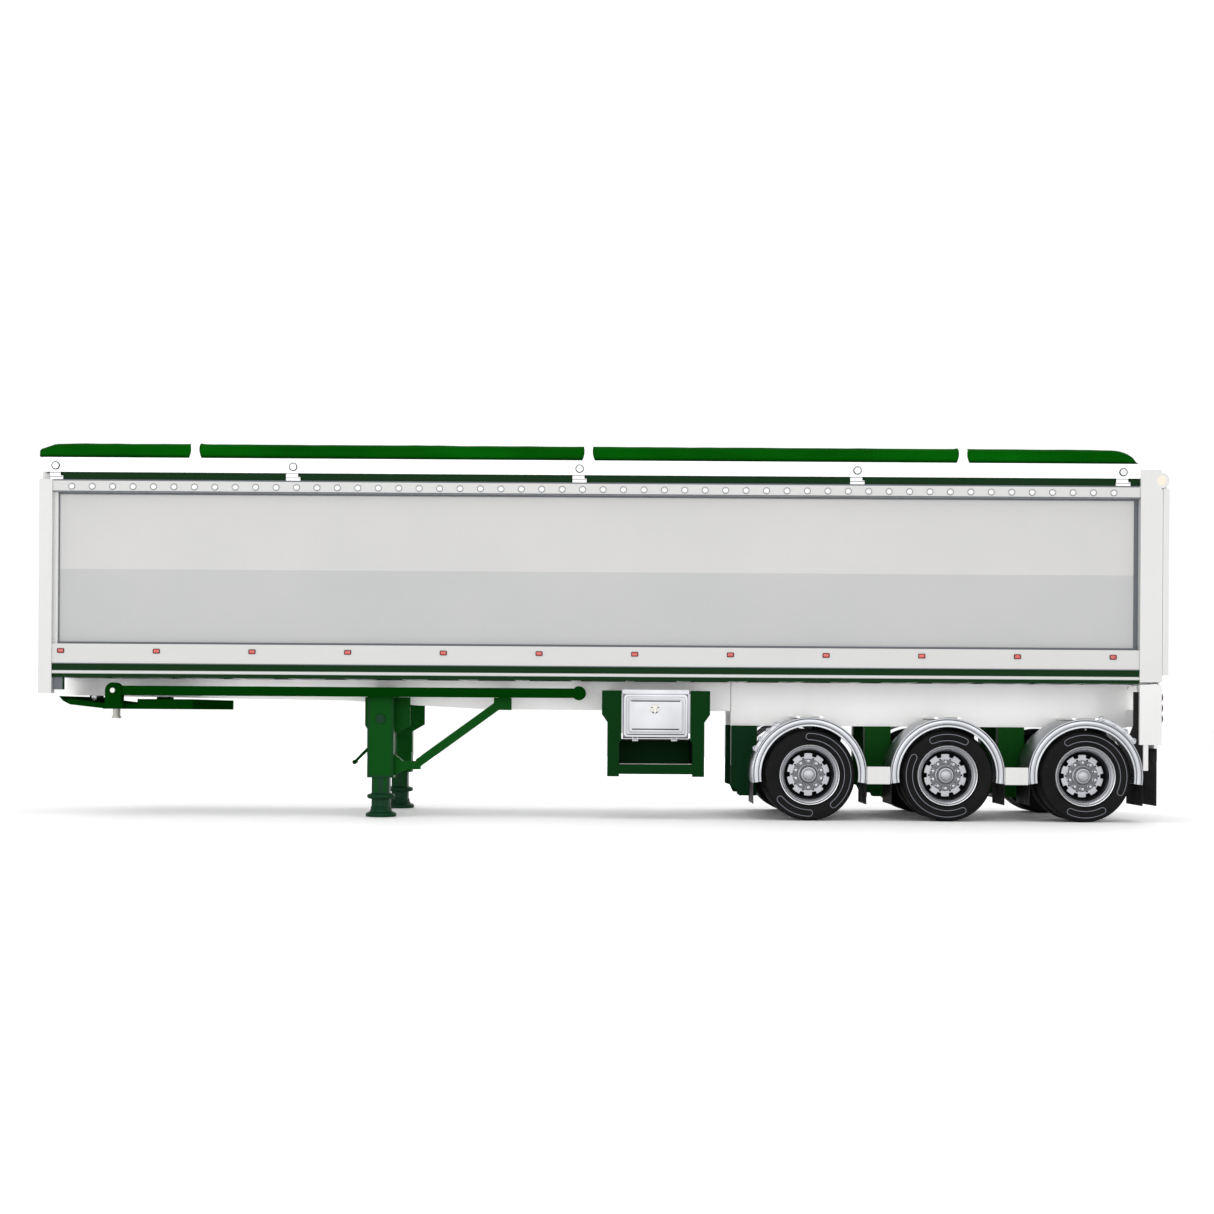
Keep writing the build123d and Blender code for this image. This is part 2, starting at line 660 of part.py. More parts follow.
def tool_box():
    left = tool_box_left
    right = tool_box_right
    wall = 3
    shell = block(left, right, tool_box_back_y, tool_box_front_y, tool_box_bottom_z, tool_box_top_z)
    inside = block(left + wall, right - wall, tool_box_back_y + wall, tool_box_front_y + 1,
                   tool_box_bottom_z + wall, tool_box_top_z - wall)
    top_cap = block(left - 8, right + 8, tool_box_back_y, tool_box_front_y, tool_box_top_z,
                    tool_box_top_z + 45)
    post_face_left = cradle_left_x + 222
    post_face_right = cradle_left_x + cradle_length - 222
    hanger_y = half_width - 100
    hanger_left = block(post_face_left, left, hanger_y, hanger_y + 10, tool_box_bottom_z + 60, tool_box_top_z)
    hanger_right = block(right, post_face_right, hanger_y, hanger_y + 10, tool_box_bottom_z + 60,
                         tool_box_top_z)
    hinge_knuckles = []
    for x in tool_box_hinge_x:
        knuckle = rod_x(tool_box_hinge_y, tool_box_hinge_z, 14, x - 20, x + 20)
        knuckle = knuckle - rod_x(tool_box_hinge_y, tool_box_hinge_z, 5 + running_gap, x - 21, x + 21)
        strap = block(x - 20, x + 20, tool_box_hinge_y - 40, tool_box_hinge_y - 12,
                      tool_box_hinge_z - 6, tool_box_bottom_z)
        strap = strap + block(x - 20, x + 20, tool_box_hinge_y - 15, tool_box_hinge_y - 6,
                              tool_box_hinge_z - 6, tool_box_hinge_z + 4)
        strap = strap - rod_x(tool_box_hinge_y, tool_box_hinge_z, 10, x - 21, x + 21)
        hinge_knuckles.append(knuckle + strap)
    save("tool_box", [near(piece) for piece in
                      [shell - inside, top_cap, hanger_left, hanger_right] + hinge_knuckles])


def tool_box_door():
    gap = 3
    left = tool_box_left + gap
    right = tool_box_right - gap
    y0 = tool_box_front_y + gap
    skin = 4
    top_z = tool_box_top_z - gap
    bottom_z = tool_box_bottom_z + gap + 5
    panel = block(left, right, y0, y0 + skin, bottom_z, top_z)
    rim_y = y0 + skin + 14
    outer = RectangleRounded(right - left, top_z - bottom_z, 45)
    inner = RectangleRounded(right - left - 70, top_z - bottom_z - 70, 30)
    centre_x = (left + right) / 2
    centre_z = (top_z + bottom_z) / 2
    face = Plane(origin=(centre_x, y0 + skin, centre_z), x_dir=(1, 0, 0), z_dir=(0, 1, 0))
    rim = extrude(face * (outer - inner), amount=rim_y - y0 - skin)
    field_outer = RectangleRounded(right - left - 110, top_z - bottom_z - 110, 22)
    field = extrude(face * field_outer, amount=7)
    rib_top = block(left + 75, right - 75, y0 + skin + 7, y0 + skin + 12, top_z - 78, top_z - 66)
    rib_bottom = block(left + 90, right - 90, y0 + skin + 7, y0 + skin + 12, bottom_z + 96, bottom_z + 108)
    stem_x = centre_x + latch_offset_x
    stem_hole = rod_y(stem_x, latch_z, 8 + running_gap, y0 - 1, y0 + 50)
    door = panel + rim + field + rib_top + rib_bottom - stem_hole
    pins = []
    for x in tool_box_hinge_x:
        for offset in (-34, 20):
            x0 = x + offset + 0.3
            knuckle = rod_x(tool_box_hinge_y, tool_box_hinge_z, 14, x0, x0 + 13.4)
            leaf = block(x0, x0 + 13.4, tool_box_hinge_y - 5, tool_box_hinge_y + 5,
                         tool_box_hinge_z, bottom_z)
            pins.append(knuckle + leaf)
        pins.append(rod_x(tool_box_hinge_y, tool_box_hinge_z, 5, x - 20.3, x + 20.3))
    save("tool_box_door", [near(door)] + [near(pin) for pin in pins])

    latch_y = y0 + skin + 7
    plate = rod_y(stem_x, latch_z, 45, latch_y + 0.3, latch_y + 8)
    handle = block(stem_x - 10, stem_x + 10, latch_y + 8, latch_y + 20, latch_z - 45, latch_z + 45)
    stem = rod_y(stem_x, latch_z, 8, y0 - 30, latch_y + 0.3)
    tongue = block(stem_x - 10, stem_x + 10, y0 - 36, y0 - 30, latch_z - 10, latch_z + 60)
    save("tool_box_latch", [near(plate + handle + stem + tongue)])


# ---- Tailgate ----
def tailgate():
    x0 = gate_sheet_x
    x1 = gate_sheet_x + gate_sheet
    door_bottom = gate_bottom_z + 90
    door_top = door_bottom + 350
    door_half = 200
    upper = block(x0, x1, -half_width, half_width, door_top, gate_top_z)
    side = block(x0, x1, door_half, half_width, door_bottom, door_top)
    bottom = block(x0, x1, -half_width, half_width, gate_bottom_z, door_bottom)
    rib_y = [half_width - 60, half_width - 480, half_width - 860]
    ribs = [block(x1, x_rear, y, y + 60, gate_bottom_z + 60, gate_top_z) for y in rib_y]
    top_rib = block(x1, x_rear - 12, -(half_width - 60), half_width - 60, gate_top_z - 80, gate_top_z)
    top_rib = top_rib - Compound(children=[rib for rib in pair(*ribs)])
    low_rib = block(x1, x_rear, -half_width, half_width, gate_bottom_z, gate_bottom_z + 60)
    arm = plate_xz([(gate_pin_x - 20, gate_pin_z + 45), (gate_pin_x + 40, gate_pin_z + 30),
                    (x_rear - 5, gate_top_z), (x0 + 2, gate_top_z), (gate_pin_x - 30, gate_pin_z - 38)],
                   post_inner, post_inner + 55)
    arm = arm + rod_y(gate_pin_x, gate_pin_z, 50, post_inner, post_inner + 55)
    arm = arm - rod_y(gate_pin_x, gate_pin_z, gate_pin_radius + running_gap, post_inner - 1, post_inner + 56)
    lug = block(gate_sheet_x + 21, gate_sheet_x + 49, 880, 940, gate_bottom_z - 62, gate_bottom_z)
    guide = block(x1, x1 + 20, door_half + 20.5, door_half + 45, door_bottom - 20, door_top + 370)
    keeper = block(x1 + 12.5, x1 + 20, door_half + 2, door_half + 20.5, door_bottom - 20, door_top + 370)
    save("tailgate", pair(*ribs) + pair(side, arm, lug, guide + keeper) + [upper, bottom, top_rib, low_rib])
    panel = block(x1 + 0.3, x1 + 12, -(door_half + 20), door_half + 20, door_bottom - 18, door_top + 18)
    handle = block(x1 + 12, x1 + 40, -60, 60, door_top - 60, door_top - 40)
    save("grain_door", [panel, handle])


def tailgate_hook_bearings():
    bearing_wall = tube_y(hook_shaft_x, hook_shaft_z, 30, 15 + running_gap, 960, 975)
    web = block(hook_shaft_x + 20, rear_post_back_x - 80, 960, 975, sill_z + 1, sill_z + 60)
    bearing = bearing_wall + (web - rod_y(hook_shaft_x, hook_shaft_z, 25, 950, 980))
    return pair(bearing)


def tailgate_hooks():
    tip_x = gate_sheet_x + 49 + 3
    shaft = rod_y(hook_shaft_x, hook_shaft_z, 15, -1000, 1000)
    outline = [
        (hook_shaft_x - 20, hook_shaft_z - 20), (hook_shaft_x + 10, sill_z - 8),
        (tip_x, sill_z - 8), (tip_x, gate_bottom_z - 10), (x_rear, gate_bottom_z - 10),
        (x_rear, sill_z - 36), (hook_shaft_x - 10, sill_z - 36),
    ]
    hook = plate_xz(outline, 885, 935) + rod_y(hook_shaft_x, hook_shaft_z, 28, 885, 935)
    hook = hook - rod_y(hook_shaft_x, hook_shaft_z, 15, 880, 940)
    save("tailgate_hooks", [shaft] + pair(hook))


# ---- Draft arms and coupler ----
def draft_arms():
    arm_inner = half_width - 130
    arm_outer = arm_inner + draft_arm_width
    half_height = draft_arm_height / 2
    wall = 8
    front_end_x = arm_front_pin_x + 150
    rear_end_x = arm_rear_pin_x - 150
    tube = block(front_end_x, rear_end_x, arm_inner, arm_outer, arm_pin_z - half_height,
                 arm_pin_z + half_height)
    tube = tube - block(front_end_x - 1, rear_end_x + 1, arm_inner + wall, arm_outer - wall,
                        arm_pin_z - half_height + wall, arm_pin_z + half_height - wall)
    front_end = block(arm_front_pin_x, front_end_x, arm_inner, arm_outer, arm_pin_z - half_height,
                      arm_pin_z + half_height)
    front_end = front_end + rod_y(arm_front_pin_x, arm_pin_z, 60, arm_inner, arm_outer)
    rear_end = block(rear_end_x, arm_rear_pin_x, arm_inner, arm_outer, arm_pin_z - half_height,
                     arm_pin_z + half_height)
    rear_end = rear_end + rod_y(arm_rear_pin_x, arm_pin_z, 79, arm_inner, arm_outer)
    bore = arm_pin_radius + running_gap
    front_end = front_end - rod_y(arm_front_pin_x, arm_pin_z, bore, arm_inner - 1, arm_outer + 1)
    rear_end = rear_end - rod_y(arm_rear_pin_x, arm_pin_z, bore, arm_inner - 1, arm_outer + 1)
    save("draft_arms", pair(tube, front_end, rear_end))


def coupler():
    lip_start_x = x_front + 317
    lip_front_x = x_front + 190
    rise = 47
    skin = coupler_skin
    bottom = coupler_bottom_z
    lower_edge = [
        (coupler_rear_x, bottom), (x_front + 745, bottom), (lip_start_x, bottom + rise),
        (lip_start_x - 80, bottom + rise + 42), (lip_front_x, bottom + rise + 95),
    ]
    upper_edge = [
        (lip_front_x + 20, bottom + rise + 95), (lip_start_x - 70, bottom + rise + 52),
        (lip_start_x + 4, bottom + rise + skin), (x_front + 745, bottom + skin), (coupler_rear_x, bottom + skin),
    ]
    half = coupler_half_width
    plate = plate_xz(lower_edge + upper_edge, -half, half)
    flange_depth = coupler_flange_height - skin
    flange_edge = [
        (coupler_rear_x - 630, bottom + skin), (x_front + 745, bottom + skin),
        (lip_start_x + 4, bottom + rise + skin), (lip_start_x - 40, bottom + rise + skin + 27),
        (lip_start_x - 40, bottom + rise + skin + flange_depth),
        (lip_start_x + 10, bottom + rise + skin + flange_depth),
        (x_front + 745, bottom + skin + flange_depth), (coupler_rear_x - 630, bottom + skin + flange_depth),
    ]
    flange = plate_xz(flange_edge, half - 20, half)
    box_left = coupler_rear_x - 630
    box_top = bottom + 115
    box_wall = skin
    box_bottom = bottom + skin
    front_wall_plate = block(box_left, box_left + box_wall, -half, half, box_bottom, box_top)
    rear_wall_plate = block(coupler_rear_x - box_wall, coupler_rear_x, -half, half, box_bottom, box_top)
    side_wall = block(box_left + box_wall, coupler_rear_x - box_wall, half - box_wall, half,
                      box_bottom, box_top - box_wall)
    lid = block(box_left + box_wall, coupler_rear_x - box_wall, -half, half, box_top - box_wall, box_top)
    ear_half = 90
    inner_ear_y = half - 15
    ear_outline = [(arm_front_pin_x - ear_half, bottom + coupler_flange_height + 5),
                   (arm_front_pin_x + ear_half, bottom + coupler_flange_height + 5),
                   (arm_front_pin_x + ear_half, arm_pin_z), (arm_front_pin_x - ear_half, arm_pin_z)]
    hole = fixed_pin_gap + arm_pin_radius
    ears = []
    for y0, y1 in ((inner_ear_y, inner_ear_y + 20), (half_width - 45, half_width - 25)):
        ear = plate_xz(ear_outline, y0, y1) + rod_y(arm_front_pin_x, arm_pin_z, ear_half, y0, y1)
        ears.append(ear - rod_y(arm_front_pin_x, arm_pin_z, hole, y0 - 1, y1 + 1))
    foot_half = ear_half + 20
    bridge = block(arm_front_pin_x - foot_half, arm_front_pin_x + foot_half, half, half_width - 25,
                   bottom, bottom + coupler_flange_height + 5)
    inner_foot = block(arm_front_pin_x - foot_half, arm_front_pin_x + foot_half, inner_ear_y, half,
                       bottom + coupler_flange_height + 2, bottom + coupler_flange_height + 5)
    pin = rod_y(arm_front_pin_x, arm_pin_z, arm_pin_radius, inner_ear_y - 10, half_width - 15)
    notch_half = 34
    saddle_top = hoist_foot_z + 27
    saddle_bottom = bottom + rise + skin
    saddle = block(hoist_x - 60, hoist_x + 60, 60, 85, saddle_bottom, saddle_top)
    saddle = saddle - rod_y(hoist_x, hoist_foot_z, notch_half, 59, 86)
    saddle = saddle - block(hoist_x - notch_half, hoist_x + notch_half, 59, 86, hoist_foot_z, saddle_top + 1)
    saddle_base = block(hoist_x - 60, hoist_x + 60, -85, 85, bottom + rise + 3, saddle_bottom)
    save("coupler_plate", [plate, front_wall_plate, rear_wall_plate, lid, saddle_base - plate]
         + pair(flange, side_wall, bridge, inner_foot, pin, saddle - plate, *ears))

    above_plate = plate_xz(lower_edge + [(lip_front_x, bottom + 300), (coupler_rear_x, bottom + 300)],
                           -kingpin_flange_radius, kingpin_flange_radius)
    neck = rod_z(kingpin_x, 0, kingpin_neck_radius, bottom - kingpin_neck_length, bottom + rise)
    flange_disc = rod_z(kingpin_x, 0, kingpin_flange_radius,
                        bottom - kingpin_neck_length - kingpin_flange_thickness,
                        bottom - kingpin_neck_length)
    save("kingpin", [neck - above_plate + flange_disc])


# ---- Tipping hoist ----
def hoist():
    top_z = hoist_trunnion_z - 60 + barrel_length
    bottom_z = hoist_trunnion_z - 60
    bore = stage_radii[0] + stage_fit
    barrel = tube_z(hoist_x, 0, barrel_radius, bore, bottom_z, top_z - 20)
    cap = rod_z(hoist_x, 0, barrel_radius, top_z - 20, top_z)
    trunnion = rod_y(hoist_x, hoist_trunnion_z, 35, barrel_radius - 3, well_half_width - front_wall_thickness - 12)
    trunnion = trunnion - rod_z(hoist_x, 0, barrel_radius, bottom_z, top_z)
    save("hoist_barrel", [barrel, cap] + pair(trunnion))
    for index, radius in enumerate(stage_radii):
        stage_bottom = hoist_trunnion_z - 75 - 15 * index
        stage_top = top_z - 30 - 10 * index
        if index + 1 < len(stage_radii):
            inner = stage_radii[index + 1] + stage_fit
            pieces = [tube_z(hoist_x, 0, radius, inner, stage_bottom, stage_top)]
        else:
            body = tube_z(hoist_x, 0, radius, radius - stage_wall, stage_bottom + 20, stage_top)
            plug = rod_z(hoist_x, 0, radius, stage_bottom, stage_bottom + 20)
            eye = block(hoist_x - 40, hoist_x + 40, -55, 55, hoist_foot_z, stage_bottom)
            eye = eye + rod_y(hoist_x, hoist_foot_z, 40, -55, 55)
            pin = rod_y(hoist_x, hoist_foot_z, 30, -110, 110)
            eye = eye - rod_y(hoist_x, hoist_foot_z, 30, -56, 56)
            pieces = [body, plug, eye, pin]
        save("hoist_stage_" + str(index + 1), pieces)


# ---- Bogie ----
def bogie_frame():
    wall = frame_rail_wall
    rail = block(bogie_front_x, bogie_rear_x, frame_rail_inner, frame_rail_outer,
                 bogie_rail_bottom_z, bogie_rail_top_z)
    rail = rail - block(bogie_front_x - 1, bogie_rear_x + 1, frame_rail_inner + wall,
                        frame_rail_outer - wall, bogie_rail_bottom_z + wall, bogie_rail_top_z - wall)
    cross_x = [bogie_front_x + 60, axle_x[0] - 640, axle_x[1] - 640, axle_x[2] - 640, axle_x[2] + 330]
    cross = [block(x, x + 100, -frame_rail_inner, frame_rail_inner, 1200, 1400) for x in cross_x]
    rear_beam = block(bogie_rear_x, bogie_rear_x + 100, -post_inner, post_inner, 1080, 1280)
    closing = block(bogie_rear_x, bogie_rear_x + 12, frame_rail_inner, frame_rail_outer, 1280,
                    bogie_rail_top_z)
    strip = block(bogie_front_x, bogie_rear_x, frame_rail_inner, frame_rail_outer,
                  bogie_rail_top_z, sill_z - rest_strip_gap)
    ears = []
    for y0, y1 in ((frame_rail_inner - 120, frame_rail_inner - 90),
                   (frame_rail_outer - 50, frame_rail_outer - 20)):
        ear = plate_xz([
            (bogie_rear_x + 12, 1280), (bogie_rear_x + 100, 1280), (tip_hinge_x + 52, tip_hinge_z - 30),
            (tip_hinge_x, tip_hinge_z + 60), (tip_hinge_x - 100, tip_hinge_z + 60),
            (bogie_rear_x + 12, tip_hinge_z),
        ], y0, y1)
        ear = ear + rod_y(tip_hinge_x, tip_hinge_z, tip_lug_radius, y0, y1)
        ears.append(ear - rod_y(tip_hinge_x, tip_hinge_z, tip_pin_radius + fixed_pin_gap, y0 - 1, y1 + 1))
    pin = rod_y(tip_hinge_x, tip_hinge_z, tip_pin_radius, frame_rail_inner - 125, frame_rail_outer - 15)
    save("bogie_frame", pair(rail, closing, strip, pin, *ears) + cross + [rear_beam] + mudguard_stays())


def suspension_hangers():
    pieces = []
    pins = []
    for x in axle_x:
        front = x - hanger_front_reach
        back = x - hanger_back_reach
        outline = [
            (front, bogie_rail_bottom_z), (front, 357), (front + 60, 335), (front + 100, 250),
            (back, 250), (back, bogie_rail_bottom_z),
        ]
        hole_x = x - arm_pivot_reach
        for y0 in (frame_rail_inner, frame_rail_outer - hanger_plate):
            cheek = plate_xz(outline, y0, y0 + hanger_plate)
            hole = rod_y(hole_x, arm_pivot_z, 20 + fixed_pin_gap, y0 - 1, y0 + hanger_plate + 1)
            pieces.extend(pair(cheek - hole))
        wing = plate_xz(outline, frame_rail_outer + 60, frame_rail_outer + 66)
        bridge = block(front, front + 12, frame_rail_outer, frame_rail_outer + 60, 600,
                       bogie_rail_bottom_z)
        face = block(front, front + 12, frame_rail_inner + hanger_plate, frame_rail_outer - hanger_plate,
                     600, bogie_rail_bottom_z)
        pieces.extend(pair(wing, bridge, face))
        pins.extend(pair(rod_y(hole_x, arm_pivot_z, 20, frame_rail_inner - 12, frame_rail_outer + 12)))
    save("suspension_hangers", pieces + pins)


def rear_bumper():
    post = block(rear_post_front_x, rear_post_back_x, post_inner, half_width, 882, 1560)
    bar = block(rear_post_back_x - 62, rear_post_back_x, -post_inner, post_inner, 890, 990)
    strip = block(rear_post_front_x + 48, rear_post_front_x + 103, half_width - 50, half_width - 10, 590, 882)
    carrier = block(rear_post_back_x - 82, rear_post_back_x - 42, guard_inner_y, half_width, 842, 882)
    save("rear_bumper", pair(post, strip, carrier) + [bar])

    flap = block(rear_post_back_x - 72, rear_post_back_x - 52, guard_inner_y, half_width, 193, 842)
    strip_x = rear_post_front_x + 48
    side_flap = plate_xz([
        (rear_post_front_x - 107, 640), (strip_x, 640), (strip_x, 882),
        (rear_post_front_x, 882), (rear_post_front_x, 1480), (rear_post_front_x - 60, 1480),
        (rear_post_front_x - 60, 1100), (rear_post_front_x - 107, 980),
    ], half_width - 50, half_width - 40)
    side_flap = side_flap - rod_y(axle_x[2], axle_z, guard_radius + 6, half_width - 51, half_width - 39)
    save("mudflaps", pair(flap, side_flap) + mudguard_flaps())

    lamps = []
    for z in (1180, 1300, 1420):
        lamp = rod_x(half_width - 60, z, 50, rear_post_back_x, rear_post_back_x + 28)
        lamps.extend(pair(lamp))
    save("tail_lamps", lamps)


def mudguard_stays():
    clear_offset = 110
    top_z = axle_z + (guard_radius ** 2 - clear_offset ** 2) ** 0.5
    pieces = []
    for x in axle_x:
        for offset in (-clear_offset - 40, clear_offset):
            pieces.extend(pair(block(x + offset, x + offset + 40, frame_rail_outer, half_width - 30,
                                     top_z, top_z + 20)))
    return pieces


def mudguard_flaps():
    drop = axle_z - guard_end_z
    end_x = (guard_radius ** 2 - drop ** 2) ** 0.5 - guard_sheet / 2
    end_half = flap_thickness / 2
    pieces = []
    for x in axle_x:
        for flap_x in (x - end_x, x + end_x):
            pieces.extend(pair(block(flap_x - end_half, flap_x + end_half, guard_inner_y, half_width,
                                     flap_bottom_z, guard_end_z)))
    return pieces


def mudguards():
    flange_y = half_width - 10
    drop = axle_z - guard_end_z
    reach = guard_radius + 10
    shells = []
    for x in axle_x:
        skin = tube_y(x, axle_z, guard_radius, guard_radius - guard_sheet, guard_inner_y, flange_y)
        flange = tube_y(x, axle_z, guard_radius, guard_radius - guard_flange_depth, flange_y, half_width)
        keep = block(x - reach, x + reach, guard_inner_y - 1, half_width + 1, axle_z - drop, axle_z + reach)
        shells.extend(pair((skin + flange) & keep))
    save("mudguards", shells)
    bridges = []
    for x in axle_x[:-1]:
        bridges.extend(pair(block(x + guard_radius, x + axle_spacing - guard_radius, half_width - 50,
                                  half_width - 5, axle_z - 100, axle_z + 96)))
    save("mudguard_bridges", bridges)


def axle(index, x):
    arm_inner = (frame_rail_inner + frame_rail_outer - arm_width) / 2
    arm_outer = arm_inner + arm_width
    beam_top = axle_z + axle_beam_half
    beam_end_y = inner_tyre_y - 5
    beam = block(x - axle_beam_half, x + axle_beam_half, -beam_end_y, beam_end_y,
                 axle_z - axle_beam_half, beam_top)
    spindle = rod_y(x, axle_z, 55, beam_end_y, spindle_end_y)
    brake_plate = tube_y(x, axle_z, 170, axle_beam_half + 3, beam_end_y - 22, beam_end_y - 10)
    brake_plate = brake_plate - block(x - axle_beam_half, x + axle_beam_half, 0, beam_end_y,
                                      axle_z - axle_beam_half, beam_top)
    outline = [
        (x - arm_pivot_reach, arm_pivot_z + 55), (x - 120, beam_top + 60), (x + 120, beam_top + 60),
        (x + 200, 560), (x + air_spring_reach + 130, 560), (x + air_spring_reach + 130, 520),
        (x + 180, 520), (x + 100, beam_top), (x - 100, beam_top), (x - arm_pivot_reach, arm_pivot_z - 55),
    ]
    arm = plate_xz(outline, arm_inner, arm_outer)
    arm = arm + rod_y(x - arm_pivot_reach, arm_pivot_z, 60, arm_inner, arm_outer)
    arm = arm - rod_y(x - arm_pivot_reach, arm_pivot_z, 20 + running_gap, arm_inner - 1, arm_outer + 1)
    low_plate = block(x - 100, x + 100, arm_inner - 25, arm_outer + 25, axle_z - axle_beam_half - 15,
                      axle_z - axle_beam_half)
    bolts = []
    for bolt_x in (x - 80, x + 80):
        for bolt_y in (arm_inner - 13, arm_outer + 13):
            bolts.append(rod_z(bolt_x, bolt_y, 10, axle_z - axle_beam_half, beam_top + 75))
    top_plate = block(x - 100, x + 100, arm_inner - 25, arm_outer + 25, beam_top + 60, beam_top + 75)
    top_plate = top_plate - Compound(children=[bolt for bolt in bolts])
    chamber = rod_x(arm_inner - 110, axle_z + 60, 85, x - 330, x - 150)
    chamber_bracket = block(x - 150, x - axle_beam_half, arm_inner - 130, arm_inner - 90,
                            axle_z + 20, axle_z + 50)
    save("axle_" + str(index), [beam] + pair(spindle, brake_plate, arm, low_plate, top_plate, chamber,
                                             chamber_bracket, *bolts))

    spring_x = x + air_spring_reach
    spring_y = (arm_inner + arm_outer) / 2
    bellows = rod_z(spring_x, spring_y, air_spring_radius, 640, bogie_rail_bottom_z - 12)
    piston = rod_z(spring_x, spring_y, 95, 560, 640)
    plate = rod_z(spring_x, spring_y, 110, bogie_rail_bottom_z - 12, bogie_rail_bottom_z)
    save("air_springs_" + str(index), pair(bellows, piston, plate))


def tyre_shape(x, y0):
    y1 = y0 + tyre_width
    outline = [
        (tyre_bead_radius, y0 + 18), (400, y0 + 4), (455, y0), (495, y0 + 8), (512, y0 + 22),
        (tyre_radius, y0 + 50), (tyre_radius, y1 - 50), (512, y1 - 22), (495, y1 - 8), (455, y1),
        (400, y1 - 4), (tyre_bead_radius, y1 - 18),
    ]
    cavity = [
        (tyre_bead_radius - 1, y0 + 45), (400, y0 + 24), (455, y0 + 22), (484, y0 + 34),
        (tyre_radius - 30, y0 + 60), (tyre_radius - 30, y1 - 60), (484, y1 - 34), (455, y1 - 22),
        (400, y1 - 24), (tyre_bead_radius - 1, y1 - 45),
    ]
    section = make_face(Polyline(*[(x + radius, y, axle_z) for radius, y in outline], close=True))
    section = section - make_face(Polyline(*[(x + radius, y, axle_z) for radius, y in cavity], close=True))
    return revolve(section, axis=Axis((x, 0, axle_z), (0, 1, 0)))


def rim_shape(x, rim_y0, rim_y1, disc_y0):
    # A rim barrel that carries a flat disc with round hand holes.
    rim = tube_y(x, axle_z, tyre_bead_radius, rim_bore_radius, rim_y0, rim_y1)
    disc = tube_y(x, axle_z, rim_bore_radius, hub_radius, disc_y0, disc_y0 + disc_thickness)
    for index in range(hand_hole_count):
        angle = 2 * pi * index / hand_hole_count
        hole_x = x + hand_hole_pitch_radius * cos(angle)
        hole_z = axle_z + hand_hole_pitch_radius * sin(angle)
        disc = disc - rod_y(hole_x, hole_z, hand_hole_radius, disc_y0 - 1, disc_y0 + disc_thickness + 1)
    return rim + disc


def wheel_pair(name, x, turn_over):
    outer_y = tyre_outer_y - tyre_width
    tyres = [tyre_shape(x, inner_tyre_y), tyre_shape(x, outer_y)]
    save("tyres_" + name, [turn_over(tyre) for tyre in tyres])
    rim_joint_y = disc_outer_y - disc_thickness
    outer_rim = rim_shape(x, rim_joint_y, tyre_outer_y - 20, rim_joint_y)
    inner_rim = rim_shape(x, inner_tyre_y + 20, rim_joint_y, rim_joint_y - disc_thickness)
    drum = tube_y(x, axle_z, 205, 190, inner_tyre_y + 10, inner_tyre_y + 190)
    web = tube_y(x, axle_z, 205, hub_radius, inner_tyre_y + 190, inner_tyre_y + 205)
    hub = tube_y(x, axle_z, hub_radius, spindle_radius + running_gap, inner_tyre_y + 130, hub_end_y)
    cap = rod_y(x, axle_z, 100, hub_end_y, hub_end_y + 45)
    nuts = []
    for index in range(wheel_nut_count):
        angle = 2 * pi * (index + 0.5) / wheel_nut_count
        nut_x = x + wheel_nut_pitch_radius * cos(angle)
        nut_z = axle_z + wheel_nut_pitch_radius * sin(angle)
        nuts.append(rod_y(nut_x, nut_z, 17, disc_outer_y, disc_outer_y + 35))
    pieces = [outer_rim, inner_rim, drum, web, hub, cap] + nuts
    save("wheels_" + name, [turn_over(piece) for piece in pieces])


def same(shape):
    return shape


front_wall()
floor_and_bearers()
side_panels()
side_rails()
tie_down_buttons()
coaming()
marker_lamps()
corner_posts()
tarp()
tub_rails()
draft_arm_shaft()
landing_housings()
landing_leg("left", near)
landing_leg("right", same)
landing_crank()
tool_box_cradle()
tool_box()
tool_box_door()
tailgate()
tailgate_hooks()
draft_arms()
coupler()
hoist()
bogie_frame()
suspension_hangers()
rear_bumper()
mudguards()
for number, place in enumerate(axle_x, start=1):
    axle(number, place)
    wheel_pair(str(number) + "_left", place, near)
    wheel_pair(str(number) + "_right", place, same)
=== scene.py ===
import json
import math
import random

